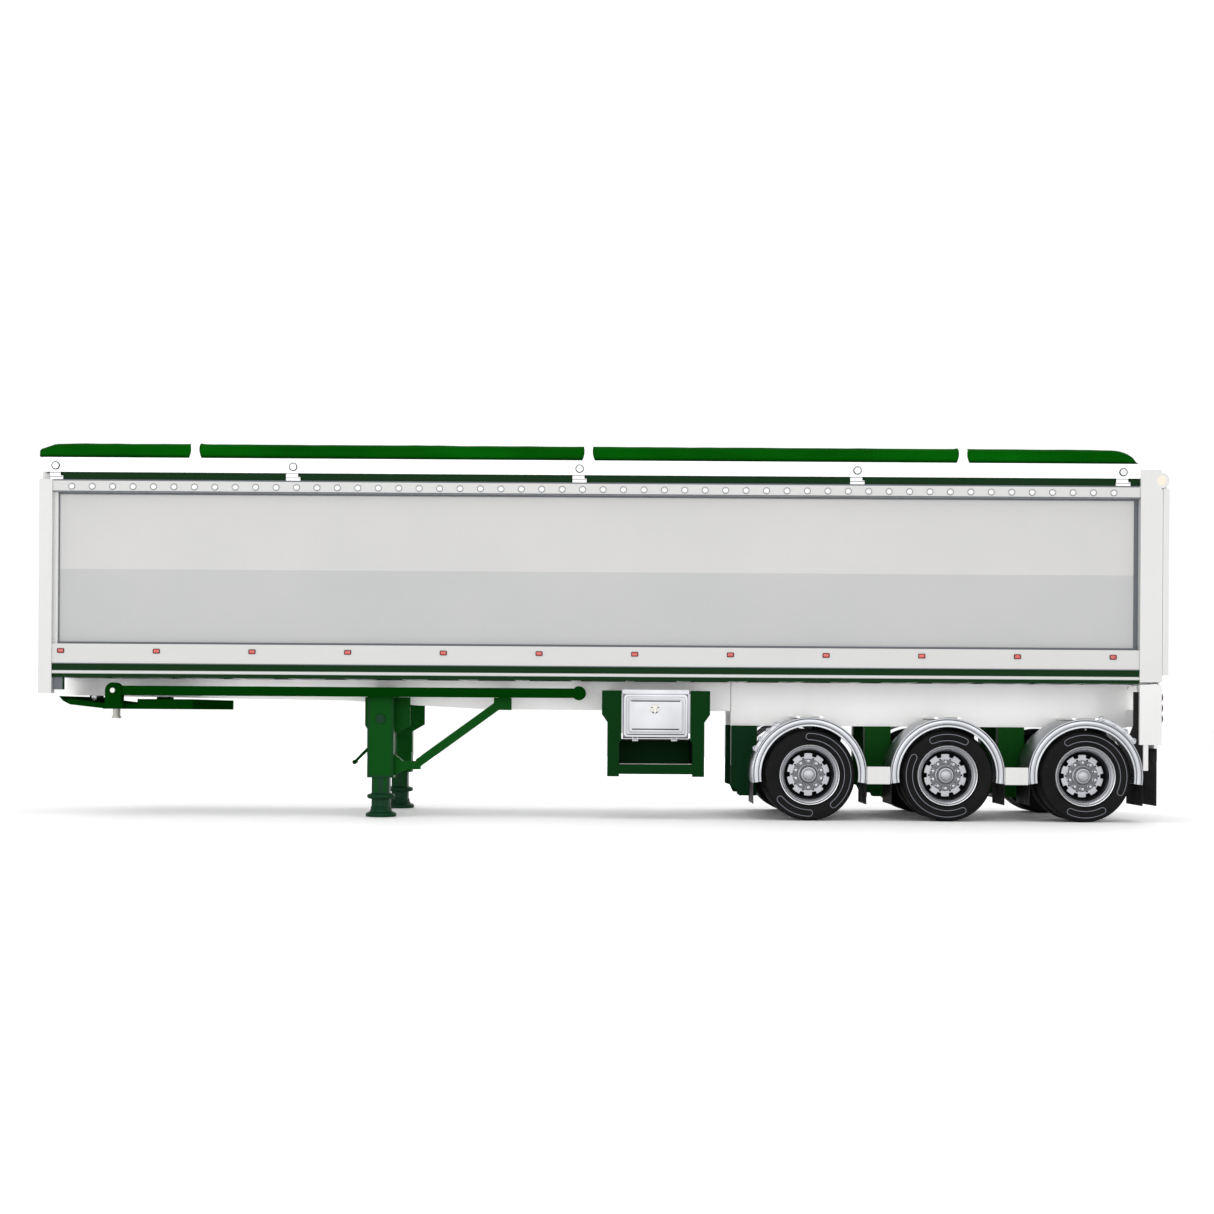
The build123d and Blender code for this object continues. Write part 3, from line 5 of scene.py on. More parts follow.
import bpy
import bmesh
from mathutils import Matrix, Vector


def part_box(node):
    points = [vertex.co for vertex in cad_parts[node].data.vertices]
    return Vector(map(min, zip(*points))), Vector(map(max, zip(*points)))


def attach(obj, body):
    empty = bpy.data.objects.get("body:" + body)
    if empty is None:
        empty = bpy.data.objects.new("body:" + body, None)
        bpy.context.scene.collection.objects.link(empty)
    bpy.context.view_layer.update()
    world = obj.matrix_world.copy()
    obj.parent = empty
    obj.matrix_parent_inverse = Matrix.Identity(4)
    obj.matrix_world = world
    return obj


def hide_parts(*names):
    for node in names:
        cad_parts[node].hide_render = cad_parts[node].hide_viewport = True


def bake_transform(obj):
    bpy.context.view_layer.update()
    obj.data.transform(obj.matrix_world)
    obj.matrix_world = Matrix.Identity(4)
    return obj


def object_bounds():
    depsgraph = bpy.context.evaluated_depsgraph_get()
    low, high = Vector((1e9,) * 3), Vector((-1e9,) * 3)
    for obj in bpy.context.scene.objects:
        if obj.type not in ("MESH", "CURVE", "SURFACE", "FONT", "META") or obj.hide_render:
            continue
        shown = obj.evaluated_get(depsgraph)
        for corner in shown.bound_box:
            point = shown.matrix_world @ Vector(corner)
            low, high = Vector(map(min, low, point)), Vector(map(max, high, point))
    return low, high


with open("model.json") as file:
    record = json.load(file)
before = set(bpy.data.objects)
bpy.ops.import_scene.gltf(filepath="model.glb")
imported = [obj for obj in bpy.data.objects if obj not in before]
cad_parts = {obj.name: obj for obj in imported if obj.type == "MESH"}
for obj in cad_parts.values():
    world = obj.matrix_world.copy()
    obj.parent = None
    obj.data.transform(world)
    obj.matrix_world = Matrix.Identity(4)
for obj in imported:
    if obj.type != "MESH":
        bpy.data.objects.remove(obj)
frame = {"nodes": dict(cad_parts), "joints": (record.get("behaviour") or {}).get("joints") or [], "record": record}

cad_low, cad_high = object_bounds()

# ---- Bogie frame ----
# Two deep rolled-steel rails under the rear of the tub, joined by cross members, with the pin
# ears of the tipping hinge at the back. Welded steel, enamelled white over primer, and dulled
# by road dust towards the lower edge.


class Tone:
    """A value in a finish's node tree. Sums and products written on it add Math nodes."""

    def __init__(self, tree, socket):
        self.tree = tree
        self.socket = socket

    def maths(self, operation, first, second=0.0):
        node = self.tree.nodes.new("ShaderNodeMath")
        node.operation = operation
        for place, value in enumerate((first, second)):
            if isinstance(value, Tone):
                self.tree.links.new(value.socket, node.inputs[place])
            else:
                node.inputs[place].default_value = value
        return Tone(self.tree, node.outputs[0])

    def __add__(self, other):
        return self.maths("ADD", self, other)

    def __radd__(self, other):
        return self.maths("ADD", other, self)

    def __sub__(self, other):
        return self.maths("SUBTRACT", self, other)

    def __rsub__(self, other):
        return self.maths("SUBTRACT", other, self)

    def __mul__(self, other):
        return self.maths("MULTIPLY", self, other)

    def __rmul__(self, other):
        return self.maths("MULTIPLY", other, self)

    def __truediv__(self, other):
        return self.maths("DIVIDE", self, other)

    def __gt__(self, other):
        return self.maths("GREATER_THAN", self, other)

    def __lt__(self, other):
        return self.maths("LESS_THAN", self, other)


class Finish:
    """A surface finish: one shader, with what changes over the surface linked to it."""

    def __init__(self, name, **even):
        self.material = bpy.data.materials.new(name)
        self.material.use_nodes = True
        self.tree = self.material.node_tree
        self.shader = self.tree.nodes["Principled BSDF"]
        for socket, value in even.items():
            self.shader.inputs[socket.replace("_", " ")].default_value = value
        self.place = self.node("TexCoord", out="Object")

    def node(self, kind, settings=None, sockets=None, out=0):
        node = self.tree.nodes.new("ShaderNode" + kind)
        for name, value in (settings or {}).items():
            if name == "stops":
                self.set_stops(node.color_ramp, value)
            else:
                setattr(node, name, value)
        for name, value in (sockets or {}).items():
            if isinstance(value, Tone):
                self.tree.links.new(value.socket, node.inputs[name])
            else:
                node.inputs[name].default_value = value
        return Tone(self.tree, node.outputs[out])

    def set_stops(self, ramp, stops):
        for index, (position, colour) in enumerate(stops):
            element = ramp.elements[index] if index < 2 else ramp.elements.new(position)
            element.position = position
            element.color = colour

    def noise(self, scale, detail=4.0, stretch=(1, 1, 1), roughness=0.55):
        place = self.node("Mapping", sockets={"Vector": self.place, "Scale": stretch})
        return self.node("TexNoise", sockets={"Vector": place, "Scale": scale, "Detail": detail,
                                              "Roughness": roughness}, out="Fac")

    def ramp(self, value, *stops):
        grey = [(position, (level, level, level, 1)) for position, level in stops]
        return self.node("ValToRGB", {"stops": grey}, {"Fac": value})

    def along(self, axis):
        return self.node("SeparateXYZ", sockets={"Vector": self.place}, out=axis)

    def height(self):
        return self.along("Z")

    def mix(self, amount, first, second):
        return self.node("Mix", {"data_type": "RGBA"}, {0: amount, 6: first, 7: second}, out=2)

    def bump(self, height, strength, distance):
        normal = self.node("Bump", sockets={"Height": height, "Strength": strength,
                                            "Distance": distance})
        self.link("Normal", normal)

    def link(self, socket, value):
        self.tree.links.new(value.socket, self.shader.inputs[socket])


def colour(red, green, blue):
    """Linear colour from the three 0-255 levels on a paint chart."""
    def linear(level):
        level = level / 255
        return level / 12.92 if level <= 0.04045 else ((level + 0.055) / 1.055) ** 2.4
    return (linear(red), linear(green), linear(blue), 1.0)


def paint(name, base, dust, roughness=0.28, dust_top=1.9, dust_amount=0.35, coat=0.35, shine=0.5):
    """Sprayed enamel: slight cloudiness, orange peel, and road dust that thins out upwards."""
    finish = Finish(name, Coat_Weight=coat, Coat_Roughness=0.12, Specular_IOR_Level=shine)
    base = base(finish) if callable(base) else base
    cloud = finish.ramp(finish.noise(0.9, 3.0), (0.35, 0.0), (0.7, 1.0))
    speckle = finish.ramp(finish.noise(38.0, 5.0), (0.45, 0.0), (0.75, 1.0))
    streak = finish.ramp(finish.noise(4.0, 4.0, (3.0, 3.0, 0.25)), (0.4, 0.0), (0.8, 1.0))
    low = finish.ramp(finish.height() / dust_top, (0.1, 1.0), (1.0, 0.0))
    soil = low * (0.35 + 0.65 * streak) * (0.55 + 0.45 * speckle) * dust_amount + cloud * 0.05
    finish.link("Base Color", finish.mix(soil, base, dust))
    finish.link("Roughness", roughness + 0.4 * soil + 0.05 * speckle)
    finish.bump(finish.noise(220.0, 2.0), 0.06, 0.0008)
    return finish.material


def wear(node, material):
    """The CAD node keeps its own mesh and takes this finish."""
    part = frame["nodes"][node]
    part.data.materials.clear()
    part.data.materials.append(material)
    return part


road_dust = colour(150, 146, 138)
white_steel = paint("white_enamel", colour(202, 202, 201), road_dust, dust_amount=0.22)
white_chassis = paint("white_chassis_enamel", colour(250, 250, 249), road_dust, dust_amount=0.16)
wear("bogie_frame", white_chassis)

# ---- Suspension hangers ----
# Folded steel plates that hang from the bogie rails and carry the trailing-arm pivots, in a
# satin green enamel. Ahead of front_hanger_end a darker, bluer green is painted shade; behind it
# the green is brighter. The dust colour is a darker green, so the plates darken towards the bottom.
front_hanger_end = 2.4


def hanger_colour_and_shade(finish):
    # Painted shade: the darker, bluer green ahead of front_hanger_end.
    return finish.mix(finish.along("X") > front_hanger_end, colour(2, 47, 18), colour(2, 64, 6))


hanger_green_and_shade = paint("hanger_enamel_and_painted_shade", hanger_colour_and_shade, colour(5, 34, 18), roughness=0.5,
                     dust_top=1.2, dust_amount=0.8, coat=0.0, shine=0.06)
wear("suspension_hangers", hanger_green_and_shade)

# ---- Axles ----
# Square hollow beams on trailing arms clamped by U-bolts, with brake chambers ahead of them.
# Black chassis paint, greyed with dust thrown up by the tyres.
chassis_black = paint("chassis_black", colour(26, 26, 27), colour(92, 88, 80), roughness=0.5,
                      dust_top=0.9, dust_amount=0.4, coat=0.05)
for index in (1, 2, 3):
    wear(f"axle_{index}", chassis_black)

# ---- Air springs ----
# A two-lobed rubber bellows between a top plate on the bogie rail and a turned piston on the
# trailing arm. The rubber is moulded in one piece and clamped in the waist by a steel ring.


class Shape:
    """A mesh under construction. Each ring, box or plate joins it with its own finish."""

    def __init__(self, *finishes):
        self.finishes = finishes
        self.points = []
        self.faces = []
        self.marks = []

    def add(self, points, faces, finish=0):
        first = len(self.points)
        self.points.extend(points)
        self.faces.extend([[first + corner for corner in face] for face in faces])
        self.marks.extend([finish] * len(faces))

    def rings(self, rings, finish=0, closed_path=False, closed_ring=True):
        """Quads between neighbouring rings, which all have the same number of points."""
        count = len(rings[0])
        faces = []
        for row in range(len(rings) - (0 if closed_path else 1)):
            here, there = row * count, (row + 1) % len(rings) * count
            for step in range(count - (0 if closed_ring else 1)):
                after = (step + 1) % count
                faces.append([here + step, here + after, there + after, there + step])
        self.add([point for ring in rings for point in ring], faces, finish)

    def turned(self, profile, centre, axis, finish=0, steps=48, closed=False):
        """Turns a profile of (radius, height along the axis) round an axis through centre."""
        rings = []
        for radius, along in profile:
            ring = []
            for step in range(steps):
                angle = math.tau * step / steps
                flat = (radius * math.cos(angle), radius * math.sin(angle))
                place = {"x": (along, *flat), "y": (flat[0], along, flat[1]), "z": (*flat, along)}[axis]
                ring.append(tuple(place[i] + centre[i] for i in range(3)))
            rings.append(ring)
        self.rings(rings, finish, closed_path=closed)

    def slab(self, outline, low, high, axis, finish=0):
        """A flat plate: an outline in the two other axes, thick from low to high along the axis."""
        def lift(point, along):
            return {"x": (along, *point), "y": (point[0], along, point[1]), "z": (*point, along)}[axis]
        count = len(outline)
        points = [lift(point, low) for point in outline] + [lift(point, high) for point in outline]
        faces = [[step, (step + 1) % count, count + (step + 1) % count, count + step]
                 for step in range(count)]
        faces += [list(range(count)), list(range(count, 2 * count))]
        self.add(points, faces, finish)

    def box(self, low, high, finish=0):
        outline = [(low[0], low[1]), (high[0], low[1]), (high[0], high[1]), (low[0], high[1])]
        self.slab(outline, low[2], high[2], "z", finish)

    def build(self, name, at=(0, 0, 0), edge=0.0, crease=32):
        mesh = bpy.data.meshes.new(name)
        mesh.from_pydata(self.points, [], self.faces)
        for finish in self.finishes:
            mesh.materials.append(finish)
        mesh.polygons.foreach_set("material_index", self.marks)
        mesh.polygons.foreach_set("use_smooth", [True] * len(self.faces))
        shell = bmesh.new()
        shell.from_mesh(mesh)
        bmesh.ops.recalc_face_normals(shell, faces=shell.faces)
        shell.to_mesh(mesh)
        shell.free()
        mesh.set_sharp_from_angle(angle=math.radians(crease))
        piece = bpy.data.objects.new(name, mesh)
        bpy.context.scene.collection.objects.link(piece)
        piece.location = at
        if edge:
            bevel = piece.modifiers.new("edge", "BEVEL")
            bevel.width = edge
            bevel.segments = 2
            bevel.limit_method = "ANGLE"
            bevel.angle_limit = math.radians(40)
        return piece


def mirrored(side, near, far):
    """The lower and the higher Y of a piece on one side of the trailer."""
    return sorted((side * near, side * far))


def joint_place(name):
    return next(joint for joint in frame["joints"] if joint["name"] == name)["pos_m"]


def arc(centre, radius, first, last, steps):
    """Points of a circular arc in a plane, between two angles in degrees."""
    angles = [math.radians(first + (last - first) * step / steps) for step in range(steps + 1)]
    return [(centre[0] + radius * math.cos(angle), centre[1] + radius * math.sin(angle))
            for angle in angles]


def rounded_outline(middle, half, radius, steps):
    """A rectangle round a middle point, with its four corners rounded."""
    outline = []
    for sign_x, sign_y, start in ((1, 1, 0), (-1, 1, 90), (-1, -1, 180), (1, -1, 270)):
        corner = (middle[0] + sign_x * (half[0] - radius), middle[1] + sign_y * (half[1] - radius))
        outline += arc(corner, radius, start, start + 90, steps)
    return outline


def rubber(name, base, roughness=0.55, grain=160.0, shine=0.08):
    """Moulded rubber: matt, faintly grey with dust, with a fine pebbled skin."""
    finish = Finish(name, Specular_IOR_Level=shine)
    dusty = finish.ramp(finish.noise(7.0, 5.0), (0.4, 0.0), (0.8, 1.0))
    finish.link("Base Color", finish.mix(dusty * 0.16, base, colour(54, 53, 51)))
    finish.link("Roughness", roughness + 0.25 * dusty)
    finish.bump(finish.noise(grain, 3.0), 0.25, 0.0006)
    return finish.material


def bare_metal(name, base, roughness, scratch=(1, 1, 1), scale=60.0, depth=0.12, **even):
    """Uncoated metal: cloudy reflections and fine marks that run along the piece."""
    finish = Finish(name, Metallic=1.0, **even)
    cloud = finish.ramp(finish.noise(2.4, 4.0), (0.3, 0.0), (0.75, 1.0))
    mark = finish.noise(scale, 6.0, scratch, 0.7)
    finish.link("Base Color", finish.mix(cloud * 0.35, base,
                                         tuple(level * 0.72 for level in base[:3]) + (1,)))
    finish.link("Roughness", roughness + 0.14 * cloud + 0.1 * mark)
    finish.bump(mark, depth, 0.0006)
    return finish.material


bellows_rubber = rubber("bellows_rubber", colour(22, 22, 23))
zinc_plate = bare_metal("zinc_plate", colour(196, 194, 188), 0.36)
for index in (1, 2, 3):
    node = f"air_springs_{index}"
    low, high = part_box(node)
    radius = (high.x - low.x) / 2
    middle_y = high.y - radius
    bellows_low = low.z + 0.09
    waist = (bellows_low + high.z) / 2
    lobe = (high.z - 0.012 - bellows_low) / 2
    profile = [(0.0, low.z), (radius * 0.62, low.z), (radius * 0.66, bellows_low - 0.03),
               (radius * 0.5, bellows_low)]
    for start in (bellows_low, bellows_low + lobe):
        profile += [(radius * (0.82 + 0.17 * math.sin(math.pi * step / 8)), start + lobe * step / 8)
                    for step in range(9)]
    profile += [(radius * 0.84, high.z - 0.012), (radius * 0.84, high.z), (0.0, high.z)]
    spring_pair = Shape(bellows_rubber, zinc_plate)
    for side in (-1, 1):
        middle = ((low.x + high.x) / 2, side * middle_y, 0)
        spring_pair.turned(profile, middle, "z")
        spring_pair.turned([(radius * 0.8, waist - 0.012), (radius * 0.87, waist - 0.006),
                            (radius * 0.87, waist + 0.006), (radius * 0.8, waist + 0.012)], middle, "z",
                            1)
    bag = spring_pair.build(f"air_spring_bellows_{index}")
    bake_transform(bag)
    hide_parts(node)

# ---- Tyres ----
# Radial truck tyres in dual pairs: four circumferential grooves and cross-cut tread blocks, a
# rounded shoulder, and raised oval plaques on the sidewall that are left blank. The plaque ridges
# are grey, a painted highlight on the black rubber.
tread = Finish("tread_rubber", Specular_IOR_Level=0.12)
tread_dust = tread.ramp(tread.noise(9.0, 5.0), (0.4, 0.0), (0.8, 1.0))
across = tread.along("X")
round_tyre = across.maths("ARCTAN2", tread.height(), across)
zigzag = across.maths("PINGPONG", tread.along("Y"), 0.03) * 1.4
block_turn = (round_tyre + zigzag) * 14.0
block_gap = block_turn.maths("FRACT", block_turn) < 0.16
tread.link("Base Color", tread.mix(tread_dust * 0.45, colour(20, 20, 21), colour(84, 81, 76)))
tread.link("Roughness", 0.62 + 0.25 * tread_dust)
tread.bump(1 - block_gap, 0.8, 0.006)

sidewall_rubber = rubber("sidewall_rubber", colour(9, 9, 10), 0.46, 120.0)
# Painted highlight: the raised plaque ridges are grey instead of the black of the sidewall.
plaque_highlight = rubber("plaque_highlight", colour(112, 115, 122), 0.5, 120.0)


def tyre_profile(width, radius, bead):
    """Half-section of a tyre as (radius, depth inwards from its outer side face)."""
    side = [(bead, 0.02), (bead + 0.006, 0.008), (bead + 0.022, 0.006), (bead + 0.03, 0.011),
            (bead + 0.055, 0.005), (radius * 0.84, 0.002), (radius * 0.885, 0.0), (radius * 0.93, 0.004),
            (radius * 0.945, 0.002), (radius * 0.952, 0.007), (radius * 0.975, 0.014),
            (radius * 0.99, 0.024),
            (radius * 0.997, 0.036)]
    tread_line = []
    groove_pitch = (width - 0.1) / 4
    for groove in range(4):
        middle = 0.05 + groove_pitch * (groove + 0.5)
        tread_line += [(radius, middle - 0.006), (radius - 0.013, middle - 0.004),
                       (radius - 0.013, middle + 0.004), (radius, middle + 0.006)]
    return side, tread_line, [(r, width - depth) for r, depth in reversed(side)]


def plaque(shape, middle_radius, half_height, turn, sweep, side, face_y):
    """A closed oval ridge on a sidewall, from arc to arc with round ends."""
    half = math.radians(sweep) / 2
    centre_turn = math.radians(turn)
    steps = max(8, int(sweep / 3))
    path = [(middle_radius + half_height, centre_turn - half + 2 * half * step / steps) for step in range(steps + 1)]
    end_angle = half_height / middle_radius
    for quarter in range(1, 8):
        swing = math.pi * quarter / 8
        path.append((middle_radius + half_height * math.cos(swing),
                     centre_turn + half + end_angle * math.sin(swing)))
    path += [(middle_radius - half_height, centre_turn + half - 2 * half * step / steps)
             for step in range(steps + 1)]
    for quarter in range(1, 8):
        swing = math.pi * quarter / 8
        path.append((middle_radius - half_height * math.cos(swing),
                     centre_turn - half - end_angle * math.sin(swing)))
    rings = []
    for radius, angle in path:
        across = radius - middle_radius
        centre_angle = min(max(angle, centre_turn - half), centre_turn + half)
        along = (angle - centre_angle) * middle_radius
        reach = math.hypot(across, along) or 1.0
        ring = []
        for offset, rise in ((-0.0045, 0.004), (-0.003, -0.0022), (0.003, -0.0022), (0.0045, 0.004)):
            grown = (reach + offset) / reach
            r = middle_radius + across * grown
            a = centre_angle + along * grown / middle_radius
            ring.append((r * math.cos(a), side * (face_y - rise), r * math.sin(a)))
        rings.append(ring)
    # Finish 2 is the grey painted highlight of the plaque ridge.
    shape.rings(rings, 2, closed_path=True)


plaque_turns = {1: 20, 2: 223, 3: 47}
plaque_radius = 0.432
plaque_half_height = 0.036
tyre_width = 0.275
bead_radius = 0.33
for index in (1, 2, 3):
    for side_name, side in (("left", -1), ("right", 1)):
        node = f"tyres_{index}_{side_name}"
        low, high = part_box(node)
        centre = (low + high) / 2
        radius = (high.z - low.z) / 2
        outer_face = max(abs(low.y), abs(high.y))
        inner_face = min(abs(low.y), abs(high.y))
        tyres = Shape(sidewall_rubber, tread.material, plaque_highlight)
        for face_y in (outer_face, inner_face + tyre_width):
            near_side, tread_line, far_side = tyre_profile(tyre_width, radius, bead_radius)
            for profile, finish in ((near_side, 0), ([near_side[-1]] + tread_line + [far_side[0]], 1),
                                    (far_side, 0)):
                tyres.turned([(r, side * (face_y - depth)) for r, depth in profile], (0, 0, 0), "y",
                             finish, 96)
            inside = [(bead_radius, 0.02), (bead_radius, 0.06), (0.44, 0.03), (0.44, tyre_width - 0.03),
                      (bead_radius, tyre_width - 0.06), (bead_radius, tyre_width - 0.02)]
            tyres.turned([(r, side * (face_y - depth)) for r, depth in inside], (0, 0, 0), "y", 0, 48)
        turn = plaque_turns[index] if side < 0 else 160 - plaque_turns[index]
        plaque(tyres, plaque_radius, plaque_half_height, turn, 142, side, outer_face)
        plaque(tyres, plaque_radius, plaque_half_height, turn + 225, 50, side, outer_face)
        tyre_pair = tyres.build(f"tyre_pair_{index}_{side_name}", (centre.x, 0, centre.z), crease=40)
        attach(tyre_pair, f"wheel_{index}_{side_name}")
        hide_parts(node)

# ---- Wheels ----
# Forged alloy disc wheels, polished on the flange and on the notched disc, bolted back to back on
# a cast hub with ten nuts. A domed cap closes each hub. The barrel, the ring round the nuts and the
# inner rims are a darker metal that is painted shade, and near-black painted shade fills the space
# behind the disc, the hand holes and the drum.
polished_rim = bare_metal("polished_rim", colour(188, 189, 192), 0.13, (0.4, 6, 0.4), 90.0, 0.05)
# Painted shade: a darker metal for the recessed barrel, the ring round the nuts and the inner rims.
dish_painted_shade = bare_metal("dish_painted_shade", colour(96, 97, 100), 0.34, (0.5, 8, 0.5), 60.0, 0.1)
cast_disc = bare_metal("cast_disc", colour(160, 161, 165), 0.3, (1, 1, 1), 70.0, 0.12)
# Painted shade: a near-black matt finish, made with the rubber recipe, for the space behind the disc, the hand holes
# and the drum, and for dark strips on the tool box door and latch.
painted_shade_black = rubber("painted_shade_black", colour(14, 14, 15), 0.7)


def notched_disc(shape, depth_y, thickness, inner, outer, notches, finish):
    """A flat ring whose outer edge has square notches between broad teeth."""
    edge = []
    for notch in range(notches):
        start = math.tau * notch / notches
        gap = 0.031 / outer
        for place, radius in ((-gap, outer), (-gap * 0.82, outer - 0.034), (gap * 0.82, outer - 0.034),
                              (gap, outer)):
            edge.append((radius, start + place))
        tooth = math.tau / notches - 2 * gap
        edge += [(outer, start + gap + tooth * step / 5) for step in range(1, 5)]
    rings = []
    for y, trim in ((depth_y - thickness, 0.0), (depth_y - 0.003, 0.0), (depth_y, 0.003)):
        rings.append([((r - trim) * math.cos(a), y, (r - trim) * math.sin(a)) for r, a in edge])
    rings.append([(inner * math.cos(a), depth_y, inner * math.sin(a)) for r, a in edge])
    shape.rings(rings, finish)


disc_depth = 0.15
nut_circle = 0.152
pocket_circle = 0.185
for index in (1, 2, 3):
    for side_name, side in (("left", -1), ("right", 1)):
        node = f"wheels_{index}_{side_name}"
        tyre_low, tyre_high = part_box(f"tyres_{index}_{side_name}")
        outer_face = max(abs(tyre_low.y), abs(tyre_high.y))
        centre = (tyre_low + tyre_high) / 2
        wheel = Shape(polished_rim, dish_painted_shade, cast_disc, painted_shade_black)

        def at_depth(profile):
            return [(r, side * (outer_face - depth)) for r, depth in profile]

        flange = [(0.338, 0.03), (0.343, 0.018), (0.3435, 0.006), (0.338, -0.002), (0.33, 0.0),
                  (0.325, 0.009),
                  (0.318, 0.02), (0.312, 0.024), (0.307, 0.03)]
        wheel.turned(at_depth(flange), (0, 0, 0), "y", 0, 96)
        ledge = [(0.307, 0.03), (0.3, 0.036), (0.296, 0.048), (0.292, 0.052), (0.286, 0.06)]
        wheel.turned(at_depth(ledge), (0, 0, 0), "y", 0, 96)
        barrel = [(0.286, 0.06), (0.279, 0.1), (0.272, 0.14), (0.268, 0.18), (0.268, 0.28)]
        wheel.turned(at_depth(barrel), (0, 0, 0), "y", 1, 96)
        behind = [(0.268, 0.235), (0.1, 0.235)]
        wheel.turned(at_depth(behind), (0, 0, 0), "y", 3, 48)
        notched_disc(wheel, side * (outer_face - disc_depth), side * 0.016, 0.118, 0.243, 10, 2)
        collar = [(0.243 - 0.034, disc_depth + 0.016), (0.2, 0.235)]
        wheel.turned(at_depth(collar), (0, 0, 0), "y", 3, 48)
        hub = [(0.118, disc_depth), (0.116, disc_depth - 0.014), (0.104, disc_depth - 0.02),
               (0.1, disc_depth - 0.03), (0.092, disc_depth - 0.036), (0.09, 0.1), (0.082, 0.092),
               (0.07, 0.09), (0.066, 0.084), (0.05, 0.076), (0.026, 0.072), (0.0, 0.071)]
        wheel.turned(at_depth(hub), (0, 0, 0), "y", 2, 48)
        nut_ring = [(0.18, disc_depth - 0.0008), (0.119, disc_depth - 0.0008)]
        wheel.turned(at_depth(nut_ring), (0, 0, 0), "y", 1, 48)
        for nut in range(10):
            angle = math.tau * (nut + 0.5) / 10
            seat = (nut_circle * math.cos(angle), 0, nut_circle * math.sin(angle))
            wheel.turned(at_depth([(0.028, disc_depth), (0.028, disc_depth - 0.004),
                                   (0.024, disc_depth - 0.006)]),
                         seat, "y", 0, 16)
            wheel.turned(at_depth([(0.023, disc_depth - 0.004), (0.023, disc_depth - 0.026),
                                   (0.016, disc_depth - 0.032), (0.0, disc_depth - 0.034)]), seat, "y",
                                   0, 6)
            wheel.turned(at_depth([(0.0102, disc_depth - 0.033), (0.0102, disc_depth - 0.041),
                                   (0.0, disc_depth - 0.043)]),
                         seat, "y", 2, 10)
            pocket = math.tau * nut / 10
            hole = (pocket_circle * math.cos(pocket), 0, pocket_circle * math.sin(pocket))
            wheel.turned(at_depth([(0.011, disc_depth - 0.0006), (0.0, disc_depth - 0.0006)]), hole, "y",
                         3, 10)
        inner_outer_face = outer_face - 0.33
        far_rim = [(0.338, 0.02), (0.343, 0.008), (0.334, 0.0), (0.322, 0.02), (0.3, 0.05),
                   (0.285, 0.12),
                   (0.285, 0.2), (0.3, 0.23), (0.322, 0.256), (0.334, 0.275), (0.343, 0.262),
                   (0.338, 0.25)]
        wheel.turned([(r, side * (inner_outer_face - depth)) for r, depth in far_rim], (0, 0, 0), "y", 1,
                     72)
        drum = [(0.05, 0.33), (0.205, 0.33), (0.205, 0.5), (0.21, 0.51), (0.21, 0.56), (0.198, 0.56),
                (0.19, 0.5),
                (0.19, 0.36), (0.05, 0.36)]
        wheel.turned(at_depth(drum), (0, 0, 0), "y", 3, 48)
        back = [(0.268, 0.28), (0.285, 0.33), (0.285, 0.4)]
        wheel.turned(at_depth(back), (0, 0, 0), "y", 1, 72)
        made = wheel.build(f"wheel_{index}_{side_name}", (centre.x, 0, centre.z))
        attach(made, f"wheel_{index}_{side_name}")
        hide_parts(node)

# ---- Mudguards ----
# Rolled half-round guards in bright aluminium: a curved sheet over each dual pair, a folded face
# with a pressed bead towards each edge, and a wired lip. Short cast clamps hold them to the stays.
bright_guard = bare_metal("bright_guard", colour(172, 174, 178), 0.2, (2, 2, 2), 30.0, 0.06)
guard_shadow = rubber("guard_shadow", colour(60, 64, 68), 0.6)
low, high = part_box("mudguards")
guard_radius = 0.65
guard_face = high.y
sheet_inner = 0.64
guard_section = [
    (0.649, sheet_inner), (0.65, guard_face - 0.012), (0.6485, guard_face - 0.004),
    (0.645, guard_face - 0.0005),
    (0.641, guard_face), (0.637, guard_face - 0.002), (0.634, guard_face - 0.006),
    (0.629, guard_face - 0.006),
    (0.626, guard_face - 0.002), (0.62, guard_face), (0.588, guard_face), (0.584, guard_face - 0.002),
    (0.58, guard_face - 0.005), (0.574, guard_face - 0.005), (0.57, guard_face - 0.002),
    (0.564, guard_face),
    (0.553, guard_face - 0.0005), (0.549, guard_face - 0.004), (0.5485, guard_face - 0.009),
    (0.552, guard_face - 0.0125), (0.558, guard_face - 0.01), (0.63, guard_face - 0.012),
    (0.64, guard_face - 0.018),
    (0.64, sheet_inner),
]
for index in (1, 2, 3):
    tyre_low, tyre_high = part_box(f"tyres_{index}_left")
    middle_x = (tyre_low.x + tyre_high.x) / 2
    axle_z = (tyre_low.z + tyre_high.z) / 2
    guards = Shape(bright_guard, guard_shadow)
    for side in (-1, 1):
        rings = []
        dip = math.degrees(math.asin((axle_z - low.z) / guard_radius))
        for step in range(73):
            angle = math.radians(-dip + (180 + 2 * dip) * step / 72)
            ring = []
            for r, y in guard_section:
                z = axle_z + r * math.sin(angle)
                ring.append((middle_x + r * math.cos(angle), side * y, max(z, low.z)))
            rings.append(ring)
        guards.rings(rings)
        for line_outer, line_inner, line_depth in ((0.6338, 0.6292, 0.0054), (0.5798, 0.5742, 0.0044)):
            strip = []
            for step in range(73):
                angle = math.radians(-dip + (180 + 2 * dip) * step / 72)
                strip.append([(middle_x + r * math.cos(angle), side * (guard_face - line_depth),
                               max(axle_z + r * math.sin(angle), low.z)) for r in (line_outer,
                                                                                   line_inner)])
            guards.rings(strip, 1, closed_ring=False)
        guards.add([p for ring in (rings[0], rings[-1]) for p in ring],
                   [list(range(len(guard_section))),
                    list(range(len(guard_section), 2 * len(guard_section)))])
    made = guards.build(f"mudguards_{index}")
    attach(made, "bogie")
    if index == 1:
        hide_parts("mudguards")

